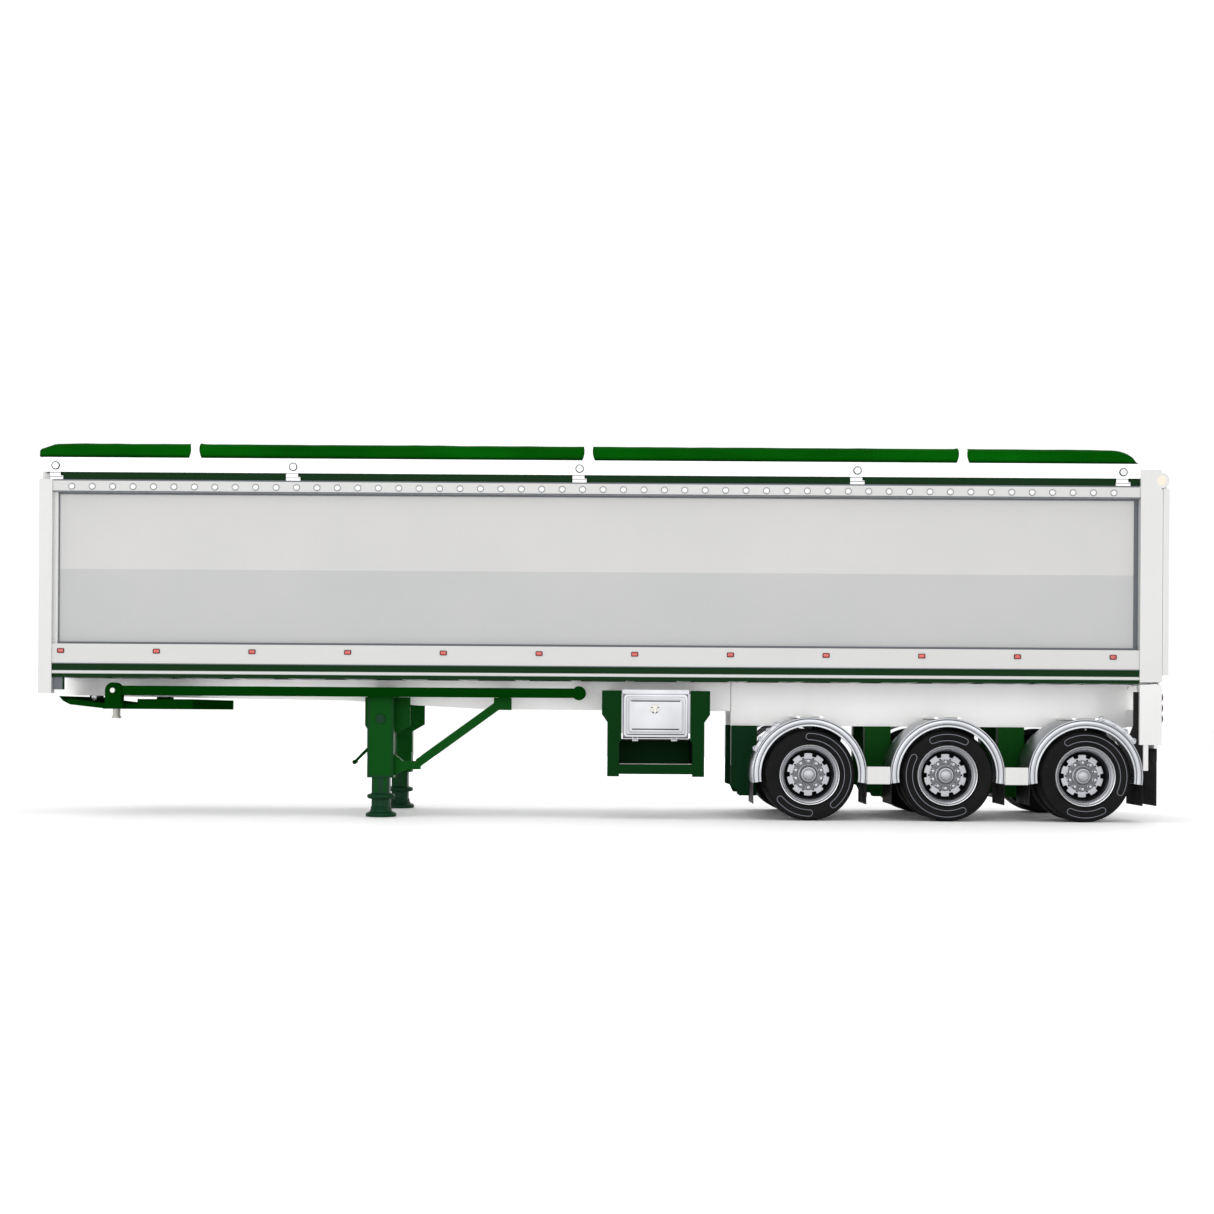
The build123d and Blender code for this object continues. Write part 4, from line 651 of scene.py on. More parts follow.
clamp_spans = {1: (157, 121), 3: (77, 34)}
clamp_inner_y = 1.16
clamp_outer_y = 1.235
clamp_boss_y = 1.238
boss_circle = 0.682
for index, (start, end) in clamp_spans.items():
    tyre_low, tyre_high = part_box(f"tyres_{index}_left")
    middle = ((tyre_low.x + tyre_high.x) / 2, (tyre_low.z + tyre_high.z) / 2)
    for side_name, side in (("left", -1), ("right", 1)):
        clamp = Shape(bright_guard, guard_shadow)
        y_low, y_high = mirrored(side, clamp_inner_y, clamp_outer_y)
        outer_edge = arc(middle, 0.69, start, end, 10)
        inner_edge = arc(middle, 0.651, end, start, 10)
        clamp.slab(outer_edge + inner_edge, y_low, y_high, "y")
        for share in (0.08, 0.36, 0.66, 0.93):
            angle = math.radians(start + (end - start) * share)
            boss = (middle[0] + boss_circle * math.cos(angle), 0,
                    middle[1] + boss_circle * math.sin(angle))
            face = side * clamp_boss_y
            clamp.turned([(0.03, side * clamp_inner_y), (0.03, face - side * 0.006), (0.024, face),
                          (0.014, face),
                          (0.012, face - side * 0.006), (0.0, face - side * 0.006)], boss, "y", 0, 20)
            clamp.turned([(0.011, face - side * 0.004), (0.0, face - side * 0.003)], boss, "y", 1, 12)
        made = clamp.build(f"guard_clamp_{index}_{side_name}", edge=0.004)
        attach(made, "bogie")

# ---- Mudguard bridges and flaps ----
# Short enamelled plates tie neighbouring guards together, and moulded rubber flaps hang below the
# guard ends, behind the last axle and beside the rear post.
wear("mudguard_bridges", white_steel)
flap_rubber = rubber("flap_rubber", colour(19, 19, 20), 0.5, 90.0)
wear("mudflaps", flap_rubber)

# ---- Rear bumper and tail lamps ----
# A welded bar and posts that carry the flaps and three round lamps a side: red moulded lenses with
# concentric prisms in black rubber grommets.
wear("rear_bumper", white_steel)


def lens(name, base, glow):
    """Moulded red plastic: clear outer skin over prisms, with a lighter red in cloudy patches."""
    finish = Finish(name, Coat_Weight=0.8, Coat_Roughness=0.05, Roughness=0.2)
    prism = finish.node("TexVoronoi", {"feature": "F1"}, {"Vector": finish.place, "Scale": 190.0},
                        out="Distance")
    cloud = finish.ramp(finish.noise(45.0, 2.0), (0.35, 0.0), (0.7, 1.0))
    finish.link("Base Color", finish.mix(cloud, base, glow))
    finish.bump(prism, 0.5, 0.001)
    return finish.material


red_lens = lens("red_lens", colour(150, 24, 14), colour(196, 52, 30))
low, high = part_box("tail_lamps")
lamp_radius = 0.05
lamps = Shape(red_lens, flap_rubber)
lamp_y = high.y - lamp_radius
for side in (-1, 1):
    for level in (low.z + lamp_radius, (low.z + high.z) / 2, high.z - lamp_radius):
        hub = (0, side * lamp_y, level)
        lamps.turned([(0.05, low.x), (0.05, low.x + 0.012), (0.046, low.x + 0.018),
                      (0.042, low.x + 0.018),
                      (0.042, low.x + 0.01)], hub, "x", 1, 32)
        lamps.turned([(0.042, low.x + 0.012), (0.041, high.x - 0.008), (0.034, high.x - 0.003),
                      (0.018, high.x - 0.0005), (0.0, high.x)], hub, "x", 0, 32)
tail_lamps = lamps.build("tail_lamp_lenses")
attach(tail_lamps, "bogie")
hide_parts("tail_lamps")

# ---- Tub underframe ----
# The tapered frame rails under the floor, the cross bearers and the hoist well. The rails are
# enamelled like the bogie; floor and bearers are bare alloy extrusions.
wear("tub_rails", white_chassis)
mill_alloy = bare_metal("mill_alloy", colour(214, 215, 216), 0.42, (0.3, 8, 8), 50.0, 0.08)
wear("floor_and_bearers", mill_alloy)
wear("front_wall", white_steel)

# ---- Side panels ----
# Hollow painted planks stacked on edge and welded along the tongue. The upper planks are a warm
# light grey, the lower ones a cooler and darker grey, and both show faint ripple from welding.


def plank_paint(name, base, tint, seam_pitch):
    """Semi-gloss paint over planks: soft large ripples, fine seams and a trace of rain streaks."""
    finish = Finish(name, Coat_Weight=0.15, Coat_Roughness=0.25)
    patch = finish.ramp(finish.noise(0.7, 4.0, (1, 1, 1.4)), (0.35, 0.0), (0.7, 1.0))
    rain = finish.ramp(finish.noise(9.0, 3.0, (3.0, 3.0, 0.12)), (0.45, 0.0), (0.85, 1.0))
    finish.link("Base Color", finish.mix(patch * 0.5 + rain * 0.3, base, tint))
    finish.link("Roughness", 0.38 + 0.12 * patch)
    seam = (finish.height() / seam_pitch).maths("FRACT", finish.height() / seam_pitch)
    line = (seam < 0.012) * 0.5
    finish.bump(finish.noise(1.6, 2.0) * 0.6 + (1 - line) * 0.4, 0.12, 0.004)
    return finish.material


wear("side_panels_upper", plank_paint("upper_plank_paint", colour(179, 178, 177), colour(175, 175, 174),
                                      0.2162))
wear("side_panels_lower", plank_paint("lower_plank_paint", colour(165, 165, 165), colour(161, 162, 163),
                                      0.213))

# ---- Side rails ----
# Extruded alloy rails along the sill and under the top chord. Thin grey strips on the planks and
# rails are painted shadow: under the rails, above the sill, round the button rail and up the plank
# ends. The rub rail below and the chord above are enamelled dark green.
rail_enamel = paint("rail_enamel", colour(182, 182, 181), road_dust, roughness=0.32, dust_amount=0.12,
                    coat=0.2)
deep_green = paint("deep_green_enamel", colour(1, 40, 7), colour(8, 46, 16), roughness=0.42,
                   dust_amount=0.15,
                   coat=0.0, shine=0.08)
wear("bottom_rails", rail_enamel)
wear("button_rails", rail_enamel)
wear("rub_rails_and_top_chords", deep_green)
wear("rub_rail_beads", rail_enamel)
# Painted shadow: the grey of the thin strips under the rails and at the plank ends. The clamp folds and the front
# cheeks use it too.
shadow_line_grey = paint("drip_shadow", colour(86, 90, 96), colour(74, 76, 80), roughness=0.6, dust_amount=0.2,
                  coat=0.0)
panel_low, panel_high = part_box("side_panels_upper")
lower_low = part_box("side_panels_lower")[0]
button_low, button_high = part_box("button_rails")
sill_low, sill_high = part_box("bottom_rails")
shadow_lines = Shape(shadow_line_grey)
for side in (-1, 1):
    for z, rise in ((panel_high.z - 0.018, 0.018), (lower_low.z, 0.026), (button_high.z - 0.015, 0.015)):
        y_low, y_high = sorted((side * (panel_high.y - 0.01),
                                side * (panel_high.y + (0.03 if z < 3.7 else 0.086))))
        shadow_lines.box((panel_low.x + 0.01, y_low, z), (panel_high.x - 0.01, y_high, z + rise))
    y_low, y_high = mirrored(side, button_high.y - 0.004, button_high.y + 0.004)
    shadow_lines.box((button_low.x, y_low, button_low.z), (button_high.x, y_high, button_low.z + 0.012))
    shadow_lines.box((sill_low.x, y_low, sill_low.z), (sill_high.x, y_high, sill_low.z + 0.01))
    y_low, y_high = mirrored(side, panel_high.y, panel_high.y + 0.006)
    shadow_lines.box((panel_low.x, y_low, lower_low.z), (panel_low.x + 0.06, y_high, panel_high.z))
    shadow_lines.box((panel_high.x - 0.05, y_low, lower_low.z), (panel_high.x, y_high, panel_high.z))
rail_shadow_lines = shadow_lines.build("rail_painted_shadow_lines")
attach(rail_shadow_lines, "tub")

# ---- Tie-down buttons ----
# Fifty-two turned alloy buttons a side, where the tarp's elastic cords can hook: a flat collar, a
# waist and a domed head, pressed into the rail.
turned_alloy = bare_metal("turned_alloy", colour(196, 196, 196), 0.3, (1, 1, 1), 120.0, 0.08)
turned_shade = paint("button_shade", colour(92, 95, 99), colour(84, 86, 90), roughness=0.5,
                     dust_amount=0.1, coat=0.0)
low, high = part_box("tie_down_buttons")
button_count = 52
button_radius = (high.z - low.z) / 2
button_z = (high.z + low.z) / 2
pitch = (high.x - low.x - 2 * button_radius) / (button_count - 1)
rail_face = high.y - 0.01
buttons = Shape(turned_alloy, turned_shade)
for side in (-1, 1):
    for place in range(button_count):
        middle = (low.x + button_radius + pitch * place, 0, button_z)
        buttons.turned([(button_radius, side * rail_face), (button_radius, side * (rail_face + 0.0035)),
                        (button_radius * 0.86, side * (rail_face + 0.0045))], middle, "y", 1, 24)
        buttons.turned([(button_radius * 0.84, side * rail_face),
                        (button_radius * 0.84, side * (rail_face + 0.007)),
                        (button_radius * 0.7, side * (rail_face + 0.0095)),
                        (button_radius * 0.35, side * high.y),
                        (0.0, side * high.y)], middle, "y", 0, 24)
made = buttons.build("tie_down_button_rows")
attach(made, "tub")
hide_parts("tie_down_buttons")

# ---- Marker lamps ----
# Twelve small red clearance lamps a side, each a moulded lens in a dark rubber bezel on the sill rail.
low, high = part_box("marker_lamps")
lamp_count = 12
lamp_half = 0.04
lamp_pitch = (high.x - low.x - 2 * lamp_half) / (lamp_count - 1)
lamp_face = high.y
markers = Shape(red_lens, flap_rubber)
for side in (-1, 1):
    for place in range(lamp_count):
        x = low.x + lamp_half + lamp_pitch * place
        middle_z = (low.z + high.z) / 2
        half_z = (high.z - low.z) / 2
        outline = rounded_outline((x, middle_z), (lamp_half, half_z), 0.012, 4)
        y_low, y_high = mirrored(side, lamp_face - 0.014, lamp_face - 0.007)
        markers.slab(outline, y_low, y_high, "y", 1)
        rings = []
        for share, rise in ((0.8, 0.007), (0.78, 0.0035), (0.66, 0.001), (0.3, 0.0), (0.02, 0.0)):
            rings.append([(x + (px - x) * share, side * (lamp_face - rise),
                           middle_z + (pz - middle_z) * share)
                          for px, pz in outline])
        markers.rings(rings, 0)
made = markers.build("marker_lamp_lenses")
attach(made, "tub")
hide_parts("marker_lamps")

# ---- Corner posts ----
# Folded posts at the four corners, enamelled a softer white than the coaming. The rear pair rise
# into ears that carry the tailgate pins, each closed by a plain tan cap. Grey cheeks with a green
# edge close the gap between the front posts and the sill.
post_white = paint("post_enamel", colour(192, 192, 191), road_dust, roughness=0.34, dust_amount=0.16,
                   coat=0.2)
wear("corner_posts", post_white)
pin_cap = paint("pin_cap_enamel", colour(214, 205, 190), colour(170, 160, 146), roughness=0.5,
                dust_amount=0.2, coat=0.1)
posts_low, posts_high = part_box("corner_posts")
gate_pin = joint_place("tailgate_swing")
caps = Shape(pin_cap)
for side in (-1, 1):
    face = side * posts_high.y
    caps.turned([(0.058, face - side * 0.004), (0.058, face - side * 0.0005),
                 (0.055, face + side * 0.0003),
                 (0.0, face + side * 0.0003)], (gate_pin[0], 0, gate_pin[2]), "y", 0, 32)
made = caps.build("tailgate_pin_caps")
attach(made, "tub")
cheek_low_z = 1.43
cheek_high_z = 1.606
# The cheeks are coloured with the painted shadow grey, with a deep green edge.
cheeks = Shape(shadow_line_grey, deep_green)
for side in (-1, 1):
    y_low, y_high = mirrored(side, 1.2, 1.192)
    cheeks.box((posts_low.x + 0.12, y_low, cheek_low_z), (posts_low.x + 0.262, y_high, cheek_high_z), 0)
    y_low, y_high = mirrored(side, 1.206, 1.16)
    cheeks.box((posts_low.x + 0.262, y_low, cheek_low_z), (posts_low.x + 0.274, y_high, cheek_high_z), 1)
made = cheeks.build("front_sill_cheeks", edge=0.002)
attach(made, "tub")

# ---- Coaming ----
# A white board along each side above the chord, with end boards and tubular bows that carry the
# tarp. Pivot bolts and small stepped clamps hold the tarp's side roll.
board_white = paint("coaming_enamel", colour(236, 236, 236), road_dust, roughness=0.3, dust_amount=0.03,
                    coat=0.3)
wear("coaming_boards_and_bows", board_white)
wear("tarp_straps_and_clamps", board_white)
coaming_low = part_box("coaming_boards_and_bows")[0]
clamps_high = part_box("tarp_straps_and_clamps")[1]
chord_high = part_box("rub_rails_and_top_chords")[1]
bolt_alloy = bare_metal("bolt_alloy", colour(190, 190, 190), 0.25, (1, 1, 1), 90.0, 0.08)
front_x = cad_low.x
clamp_from_front = (0.181, 2.865, 6.103, 9.244, 12.25)
bolt_z = chord_high.z + 0.07
clamps = Shape(board_white, shadow_line_grey)
clamp_bolts = Shape(bolt_alloy, deep_green)
for side in (-1, 1):
    face = side * clamps_high.y
    for offset in clamp_from_front:
        x = front_x + offset
        clamp_bolts.turned([(0.046, face - side * 0.016), (0.046, face - side * 0.002),
                            (0.043, face + side * 0.0002),
                            (0.037, face + side * 0.0002), (0.035, face - side * 0.004)], (x, 0, bolt_z),
                            "y", 1, 28)
        clamp_bolts.turned([(0.035, face - side * 0.01), (0.035, face), (0.028, face + side * 0.0003),
                       (0.0, face + side * 0.0003)], (x, 0, bolt_z), "y", 0, 28)
        y_low, y_high = mirrored(side, chord_high.y + 0.004, chord_high.y + 0.014)
        left = max(x - 0.08, coaming_low.x + 0.09)
        steps = ((left, x + 0.08, 0.0, 0.04), (left, x + 0.055, 0.036, 0.086))
        for x_low, x_high, z_low, z_high in steps:
            base = chord_high.z - 0.085
            clamps.box((x_low, y_low, base + z_low), (x_high, y_high, base + z_high), 0)
            # Painted shadow: a thin grey strip along the top fold of each clamp step.
            fold_low, fold_high = mirrored(side, chord_high.y + 0.012, chord_high.y + 0.0155)
            clamps.box((x_low, fold_low, base + z_high - 0.014),
                       (x_high, fold_high, base + z_high - 0.006), 1)
made = clamps.build("coaming_clamps", edge=0.003)
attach(made, "tub")
made = clamp_bolts.build("coaming_clamp_bolts")
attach(made, "tub")

# ---- Tarp ----
# One sheet of coated cloth rolled over the bows: flat-crowned, dipping a little between bows, with
# folded-down sides and ends, darkened along the bottom edge by a painted shadow. Three white straps hold it down.
tarp_low, tarp_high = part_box("tarp")
tarp_cloth = Finish("tarp_cloth", Specular_IOR_Level=0.01)
weave_x = tarp_cloth.node("TexWave", {"wave_type": "BANDS", "bands_direction": "X"},
                          {"Vector": tarp_cloth.place, "Scale": 160.0}, out="Fac")
weave_y = tarp_cloth.node("TexWave", {"wave_type": "BANDS", "bands_direction": "Y"},
                          {"Vector": tarp_cloth.place, "Scale": 160.0}, out="Fac")
faded = tarp_cloth.ramp(tarp_cloth.noise(1.3, 5.0, (0.6, 1, 2)), (0.3, 0.0), (0.75, 1.0))
crease = tarp_cloth.ramp(tarp_cloth.noise(3.0, 4.0, (0.5, 1, 3)), (0.35, 0.0), (0.7, 1.0))
# Painted shadow: the cloth darkens to a deep green over the lowest few centimetres along its bottom edge.
bottom_edge_shadow = tarp_cloth.ramp((tarp_cloth.height() - tarp_low.z) / 0.05, (0.1, 1.0), (0.7, 0.0))
cloth_green = tarp_cloth.mix(faded * 0.8, colour(1, 60, 2), colour(3, 88, 6))
tarp_cloth.link("Base Color", tarp_cloth.mix(bottom_edge_shadow * 0.75, cloth_green, colour(1, 30, 3)))
tarp_cloth.link("Roughness", 0.42 + 0.2 * faded)
tarp_cloth.bump(crease * 0.9 + (weave_x + weave_y) * 0.02, 0.35, 0.012)


shoulder_height = 0.153


def tarp_height(share_across, x):
    """Height of the cloth over its edge: steep at the sides, then a low crown that sags between bows."""
    from_front = x - tarp_low.x
    from_rear = tarp_high.x - x
    shoulder = shoulder_height * min(1.0, 0.64 + 0.36 * from_front / 0.19)
    shoulder += 0.016 * math.exp(-((from_front - 0.32) / 0.2) ** 2)
    shoulder = min(shoulder, shoulder_height * math.sqrt(max(0.0,
                                                             1 - (max(0.0,
                                                                      0.3 - from_rear) / 0.3) ** 2)))
    crown = tarp_high.z - tarp_low.z - shoulder_height
    crowning = (1 - abs(share_across) ** 2.2) * min(1.0, from_front / 0.5) * min(1.0, from_rear / 0.5)
    rounding = 0.022 * max(0.0, (abs(share_across) - 0.95) / 0.05) ** 2
    return shoulder - rounding + crown * crowning


bow_pitch = 1.44
random.seed(7)
wrinkles = [(random.uniform(tarp_low.x, tarp_high.x), random.uniform(0.05, 0.22),
             random.uniform(-0.006, 0.006),
             random.uniform(-1, 1)) for _ in range(60)]
across_steps = 28
along_steps = 260
length = tarp_high.x - tarp_low.x
edge_y = tarp_high.y
rings = []
for step in range(along_steps + 1):
    x = tarp_low.x + length * step / along_steps
    sag = 0.004 * (1 - math.cos(math.tau * (x - tarp_low.x - 0.5) / bow_pitch)) / 2
    ring = []
    for place in range(across_steps + 1):
        share = -1 + 2 * place / across_steps
        bent = math.copysign(abs(share) ** 0.8, share)
        y = edge_y * bent
        z = tarp_low.z + tarp_height(bent, x) - sag * (1 - bent ** 4)
        for centre_x, width, depth, lean in wrinkles:
            fold = (x + lean * 0.3 * abs(bent) - centre_x) / width
            z += depth * math.exp(-fold * fold) * min(1.0, abs(bent) * 1.5) * (1 - abs(bent) ** 8)
        if abs(share) > 0.999:
            z = tarp_low.z + tarp_height(1.0, x) - 0.004
            y = math.copysign(edge_y - 0.012, share)
        ring.append((x, y, z))
    skirt = tarp_low.z + 0.002
    billow = 0.004 * math.sin(x * 2.3) + 0.003 * math.sin(x * 5.1 + 1.0)
    low_side = [(x, math.copysign(edge_y - 0.004 + billow * 0.3, end), skirt) for end in (-1, 1)]
    middle_side = [(x, math.copysign(edge_y - 0.001 - abs(billow) * 0.5, end),
                    (skirt + ring[0][2]) / 2) for end in (-1, 1)]
    rings.append([low_side[0], middle_side[0]] + ring + [middle_side[1], low_side[1]])
cloth = Shape(tarp_cloth.material)
cloth.rings(rings, closed_ring=False)
for ring in (rings[0], rings[-1]):
    base = [(x, y, tarp_low.z + 0.002) for x, y, z in ring]
    cloth.rings([ring, base], closed_ring=False)
tarp_sheet = cloth.build("roll_tarp", crease=60)
thicken = tarp_sheet.modifiers.new("cloth", "SOLIDIFY")
thicken.thickness = 0.002
thicken.offset = -1
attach(tarp_sheet, "tub")
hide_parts("tarp")

# ---- Tarp straps ----
# Three white webbing straps over the tarp, wider at the coaming where they are sewn to a flared
# anchor patch. Each lies flat on the cloth and is plain woven polyester.
webbing = Finish("white_webbing")
rib = webbing.node("TexWave", {"wave_type": "BANDS", "bands_direction": "X"},
                   {"Vector": webbing.place, "Scale": 70.0}, out="Fac")
soiled = webbing.ramp(webbing.noise(5.0, 4.0), (0.35, 0.0), (0.8, 1.0))
webbing.link("Base Color", webbing.mix(soiled * 0.5, colour(253, 253, 253), colour(240, 240, 238)))
webbing.link("Roughness", 0.6 + 0.15 * soiled)
webbing.bump(rib, 0.2, 0.001)
strap_from_front = (1.758, 6.204, 10.436)
for number, offset in enumerate(strap_from_front, 1):
    x = front_x + offset
    places = [-1 + 2 * place / 28 for place in range(29)]
    rings = []
    for side, heights in ((-1, (-0.006, 0.03, 0.07, 0.11, 0.14)), (0, ()),
                          (1, (0.14, 0.11, 0.07, 0.03, -0.006))):
        if side:
            for height in heights:
                half = 0.044 + 0.024 * max(0.0, 1 - height / 0.1) ** 2 + 0.01 * max(0.0,
                                                                                    (height - 0.1) / 0.06)
                y = side * (edge_y + 0.005)
                rings.append([(x - half, y, tarp_low.z + height), (x + half, y, tarp_low.z + height)])
        else:
            for share in places[1:-1]:
                bent = math.copysign(abs(share) ** 0.8, share)
                z = tarp_low.z + tarp_height(bent, x) + 0.009
                rings.append([(x - 0.05, edge_y * bent, z), (x + 0.05, edge_y * bent, z)])
    strap = Shape(webbing.material)
    strap.rings(rings, closed_ring=False)
    made = strap.build(f"tarp_strap_{number}", crease=60)
    thicken = made.modifiers.new("webbing", "SOLIDIFY")
    thicken.thickness = 0.003
    thicken.offset = 0
    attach(made, "tub")

# ---- Draft arms, shaft and coupler ----
# Green box-section arms that pull the bogie end along while the tub tips, pinned to eyes on the
# coupler plate and to a shaft under the tub. The pins show as bright zinc-plated ends.
arm_green = paint("arm_enamel", colour(2, 46, 4), colour(12, 52, 16), roughness=0.6, dust_amount=0.2,
                  coat=0.0,
                  shine=0.0)
for node in ("draft_arms", "draft_arm_shaft", "coupler_plate"):
    wear(node, arm_green)
wear("kingpin", zinc_plate)
swing = joint_place("draft_arm_swing")
pitch_pin = joint_place("coupler_pitch")
arm_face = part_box("draft_arms")[1].y
plate_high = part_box("coupler_plate")[1]
ends = Shape(arm_green, zinc_plate)
for side in (-1, 1):
    face = side * (arm_face + 0.001)
    ends.turned([(0.079, side * (arm_face - 0.004)), (0.079, face), (0.074, side * (arm_face + 0.004)),
                 (0.066, side * (arm_face + 0.004)), (0.063, face)], (swing[0], 0, swing[2]), "y", 0, 36)
made = ends.build("arm_end_bosses")
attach(made, "draft_arms")
pins = Shape(arm_green, zinc_plate)
for side in (-1, 1):
    face = plate_high.y * side
    pins.turned([(0.03, face - side * 0.004), (0.03, face + side * 0.008), (0.026, face + side * 0.012),
                 (0.0, face + side * 0.013)], (pitch_pin[0], 0, pitch_pin[2]), "y", 1, 28)
    pins.box((pitch_pin[0] - 0.05, min(face, face - side * 0.004), pitch_pin[2] + 0.055),
             (pitch_pin[0] + 0.05, max(face, face - side * 0.004) + 0.002, pitch_pin[2] + 0.068), 0)
made = pins.build("coupler_pin_heads")
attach(made, "coupler")

# ---- Tipping hoist ----
# A telescopic cylinder in the well of the front wall: a black outer barrel on trunnions and four
# hard-chromed stages, each with a wiper ring, that run down to the pin in the coupler saddle.
chrome = bare_metal("hard_chrome", colour(222, 223, 226), 0.08, (6, 6, 0.3), 40.0, 0.03)
wear("hoist_barrel", chassis_black)
for stage in (1, 2, 3, 4):
    wear(f"hoist_stage_{stage}", chrome)

# ---- Landing legs ----
# Two-speed landing gear: welded housings on the tub rails, a brace back to the rail, inner legs
# that slide in them with ribbed cushion feet, and a hand crank. Green enamel; the darker green of
# the inner legs, the hub boss and the housing edge strips is painted shade.
leg_green = paint("leg_enamel", colour(3, 66, 12), colour(10, 60, 20), roughness=0.42, dust_amount=0.25,
                  coat=0.0,
                  shine=0.04)
# Painted shade: a darker copy of the leg green for the inner legs, the hub boss and the housing edge strips.
leg_shade = paint("inner_leg_enamel", colour(4, 50, 24), colour(12, 48, 28), roughness=0.45,
                  dust_amount=0.4, coat=0.0,
                  shine=0.12)
wear("landing_leg_housings", leg_green)
wear("landing_crank", arm_green)
for side_name, side in (("left", -1), ("right", 1)):
    node = f"landing_leg_{side_name}"
    low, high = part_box(node)
    middle_x = (low.x + high.x) / 2
    middle_y = (low.y + high.y) / 2
    foot_radius = (high.x - low.x) / 2
    middle = (middle_x, middle_y, 0)
    leg = Shape(leg_shade, leg_green)
    half_y = 0.0975
    column = rounded_outline((middle_x, middle_y), (0.0995, half_y), 0.014, 5)
    leg.slab(column, low.z + 0.07, high.z, "z", 0)
    for rib_x in (-0.05, 0.05):
        face = middle_y - half_y
        leg.box((middle_x + rib_x - 0.012, face - 0.0004, low.z + 0.28),
                (middle_x + rib_x + 0.012, face + 0.002, 0.9), 1)
    leg.turned([(0.1, 0.205), (0.132, 0.205), (0.154, 0.214), (0.16, 0.226), (0.16, 0.246),
                (0.152, 0.258),
                (0.128, 0.262), (0.118, 0.27), (0.1, 0.27)], middle, "z", 0, 48)
    leg.turned([(0.112, 0.08), (0.118, 0.09), (0.118, 0.112), (0.108, 0.12), (0.108, 0.206)], middle,
               "z", 0, 48)
    leg.turned([(0.0, low.z), (foot_radius - 0.022, low.z), (foot_radius - 0.004, low.z + 0.006),
                (foot_radius, low.z + 0.02),
                (foot_radius - 0.002, low.z + 0.036), (foot_radius - 0.016, low.z + 0.05),
                (foot_radius - 0.046, low.z + 0.058), (0.13, low.z + 0.066), (0.118, low.z + 0.088),
                (0.0, low.z + 0.09)],
               middle, "z", 0, 64)
    made = leg.build(f"inner_{node}", edge=0.002)
    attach(made, node)
    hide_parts(node)
housing_face_y = 0.935 + 0.11
hub_z = 1.12
bolt_row_z = 1.31
fittings = Shape(leg_green, leg_shade)
low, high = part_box("landing_leg_left")
middle_x = (low.x + high.x) / 2
for side in (-1, 1):
    face = side * (housing_face_y + 0.012)
    fittings.turned([(0.056, side * housing_face_y), (0.056, face), (0.05, face + side * 0.004),
                     (0.03, face + side * 0.004),
                     (0.028, face + side * 0.001), (0.0, face + side * 0.001)], (middle_x, 0, hub_z),
                     "y", 1, 32)
    for bolt_x in (-0.17, -0.06, 0.17, 0.27):
        fittings.turned([(0.02, side * (housing_face_y - 0.2)), (0.02, side * (housing_face_y - 0.19))],
                        (middle_x + bolt_x, 0, bolt_row_z),
                        "y", 0, 6)
    y_low, y_high = mirrored(side, housing_face_y, housing_face_y + 0.004)
    fittings.box((middle_x - 0.142, y_low, 0.458), (middle_x - 0.128, y_high, 1.36), 1)
    fittings.box((middle_x + 0.128, y_low, 0.458), (middle_x + 0.142, y_high, 1.36), 1)
    fittings.box((middle_x - 0.148, y_low, 0.452), (middle_x + 0.148, y_high, 0.472), 1)
made = fittings.build("leg_housing_fittings", edge=0.002)
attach(made, "tub")

# ---- Tool box and its cradle ----
# A folded aluminium box hung in a green frame, with an open bay under it for dunnage, lined inside
# with near-black painted shade. The drop-down door is pressed with two raised frames and shut by a quarter-turn
# latch.
cradle_green = paint("cradle_enamel", colour(2, 44, 10), colour(9, 42, 18), roughness=0.42,
                     dust_amount=0.25, coat=0.0,
                     shine=0.03)
wear("tool_box_cradle", cradle_green)
bright_sheet = bare_metal("bright_sheet", colour(170, 171, 174), 0.22, (1.5, 1.5, 1.5), 40.0, 0.08)
wear("tool_box", bright_sheet)
# Painted shade: near-black boxes that line the back, floor and sides of the open bay.
bay_painted_shade = rubber("bay_painted_shade", colour(9, 9, 10), 0.7)
bay = next(opening for opening in frame["record"]["physics"]["openings"] if opening["name"] == "cradle_bay")["box_m"]
bay_shade_boxes = Shape(bay_painted_shade, zinc_plate)
door_low, door_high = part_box("tool_box_door")
cradle_low, cradle_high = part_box("tool_box_cradle")
back_y = cradle_high.y - 0.012
left, right = bay[0][0] - 0.012, bay[1][0] + 0.012
bay_shade_boxes.box((left, back_y - 0.02, 0.624), (right, back_y - 0.012, door_low.z + 0.02), 0)
bay_shade_boxes.box((left, cradle_low.y + 0.06, 0.6205), (right, back_y - 0.02, 0.626), 0)
bay_shade_boxes.box((left, cradle_low.y + 0.1, 0.626), (left + 0.004, back_y - 0.02, door_low.z + 0.03), 0)
bay_shade_boxes.box((right - 0.004, cradle_low.y + 0.1, 0.626), (right, back_y - 0.02, door_low.z + 0.03), 0)
bay_shade_boxes.box((left, cradle_low.y + 0.075, door_low.z + 0.008), (right, back_y - 0.02, door_low.z + 0.016),
           0)
bay_shade_boxes.box((left, cradle_low.y + 0.055, 0.6262), (right, cradle_low.y + 0.0605, 0.6305), 1)
made = bay_shade_boxes.build("dunnage_bay_shade_and_edge")
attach(made, "tub")
door_left, door_right = door_low.x, door_high.x
plain_bottom = door_low.z + 0.046
plain_top = door_high.z
door_back = -1.1946
hinge_y = -1.2
hinge_z = 0.897
press_steps = [(0.0, 0.006, 0.03), (0.006, 0.017, 0.045), (0.03, 0.0175, 0.04), (0.036, 0.011, 0.036),
               (0.052, 0.011, 0.034), (0.056, 0.016, 0.032), (0.064, 0.016, 0.03),
               (0.068, 0.0095, 0.028)]


def rounded_frame(inset, radius):
    middle = ((door_left + door_right) / 2, (plain_bottom + plain_top) / 2)
    half = ((door_right - door_left) / 2 - inset, (plain_top - plain_bottom) / 2 - inset)
    return rounded_outline(middle, half, radius, 6)


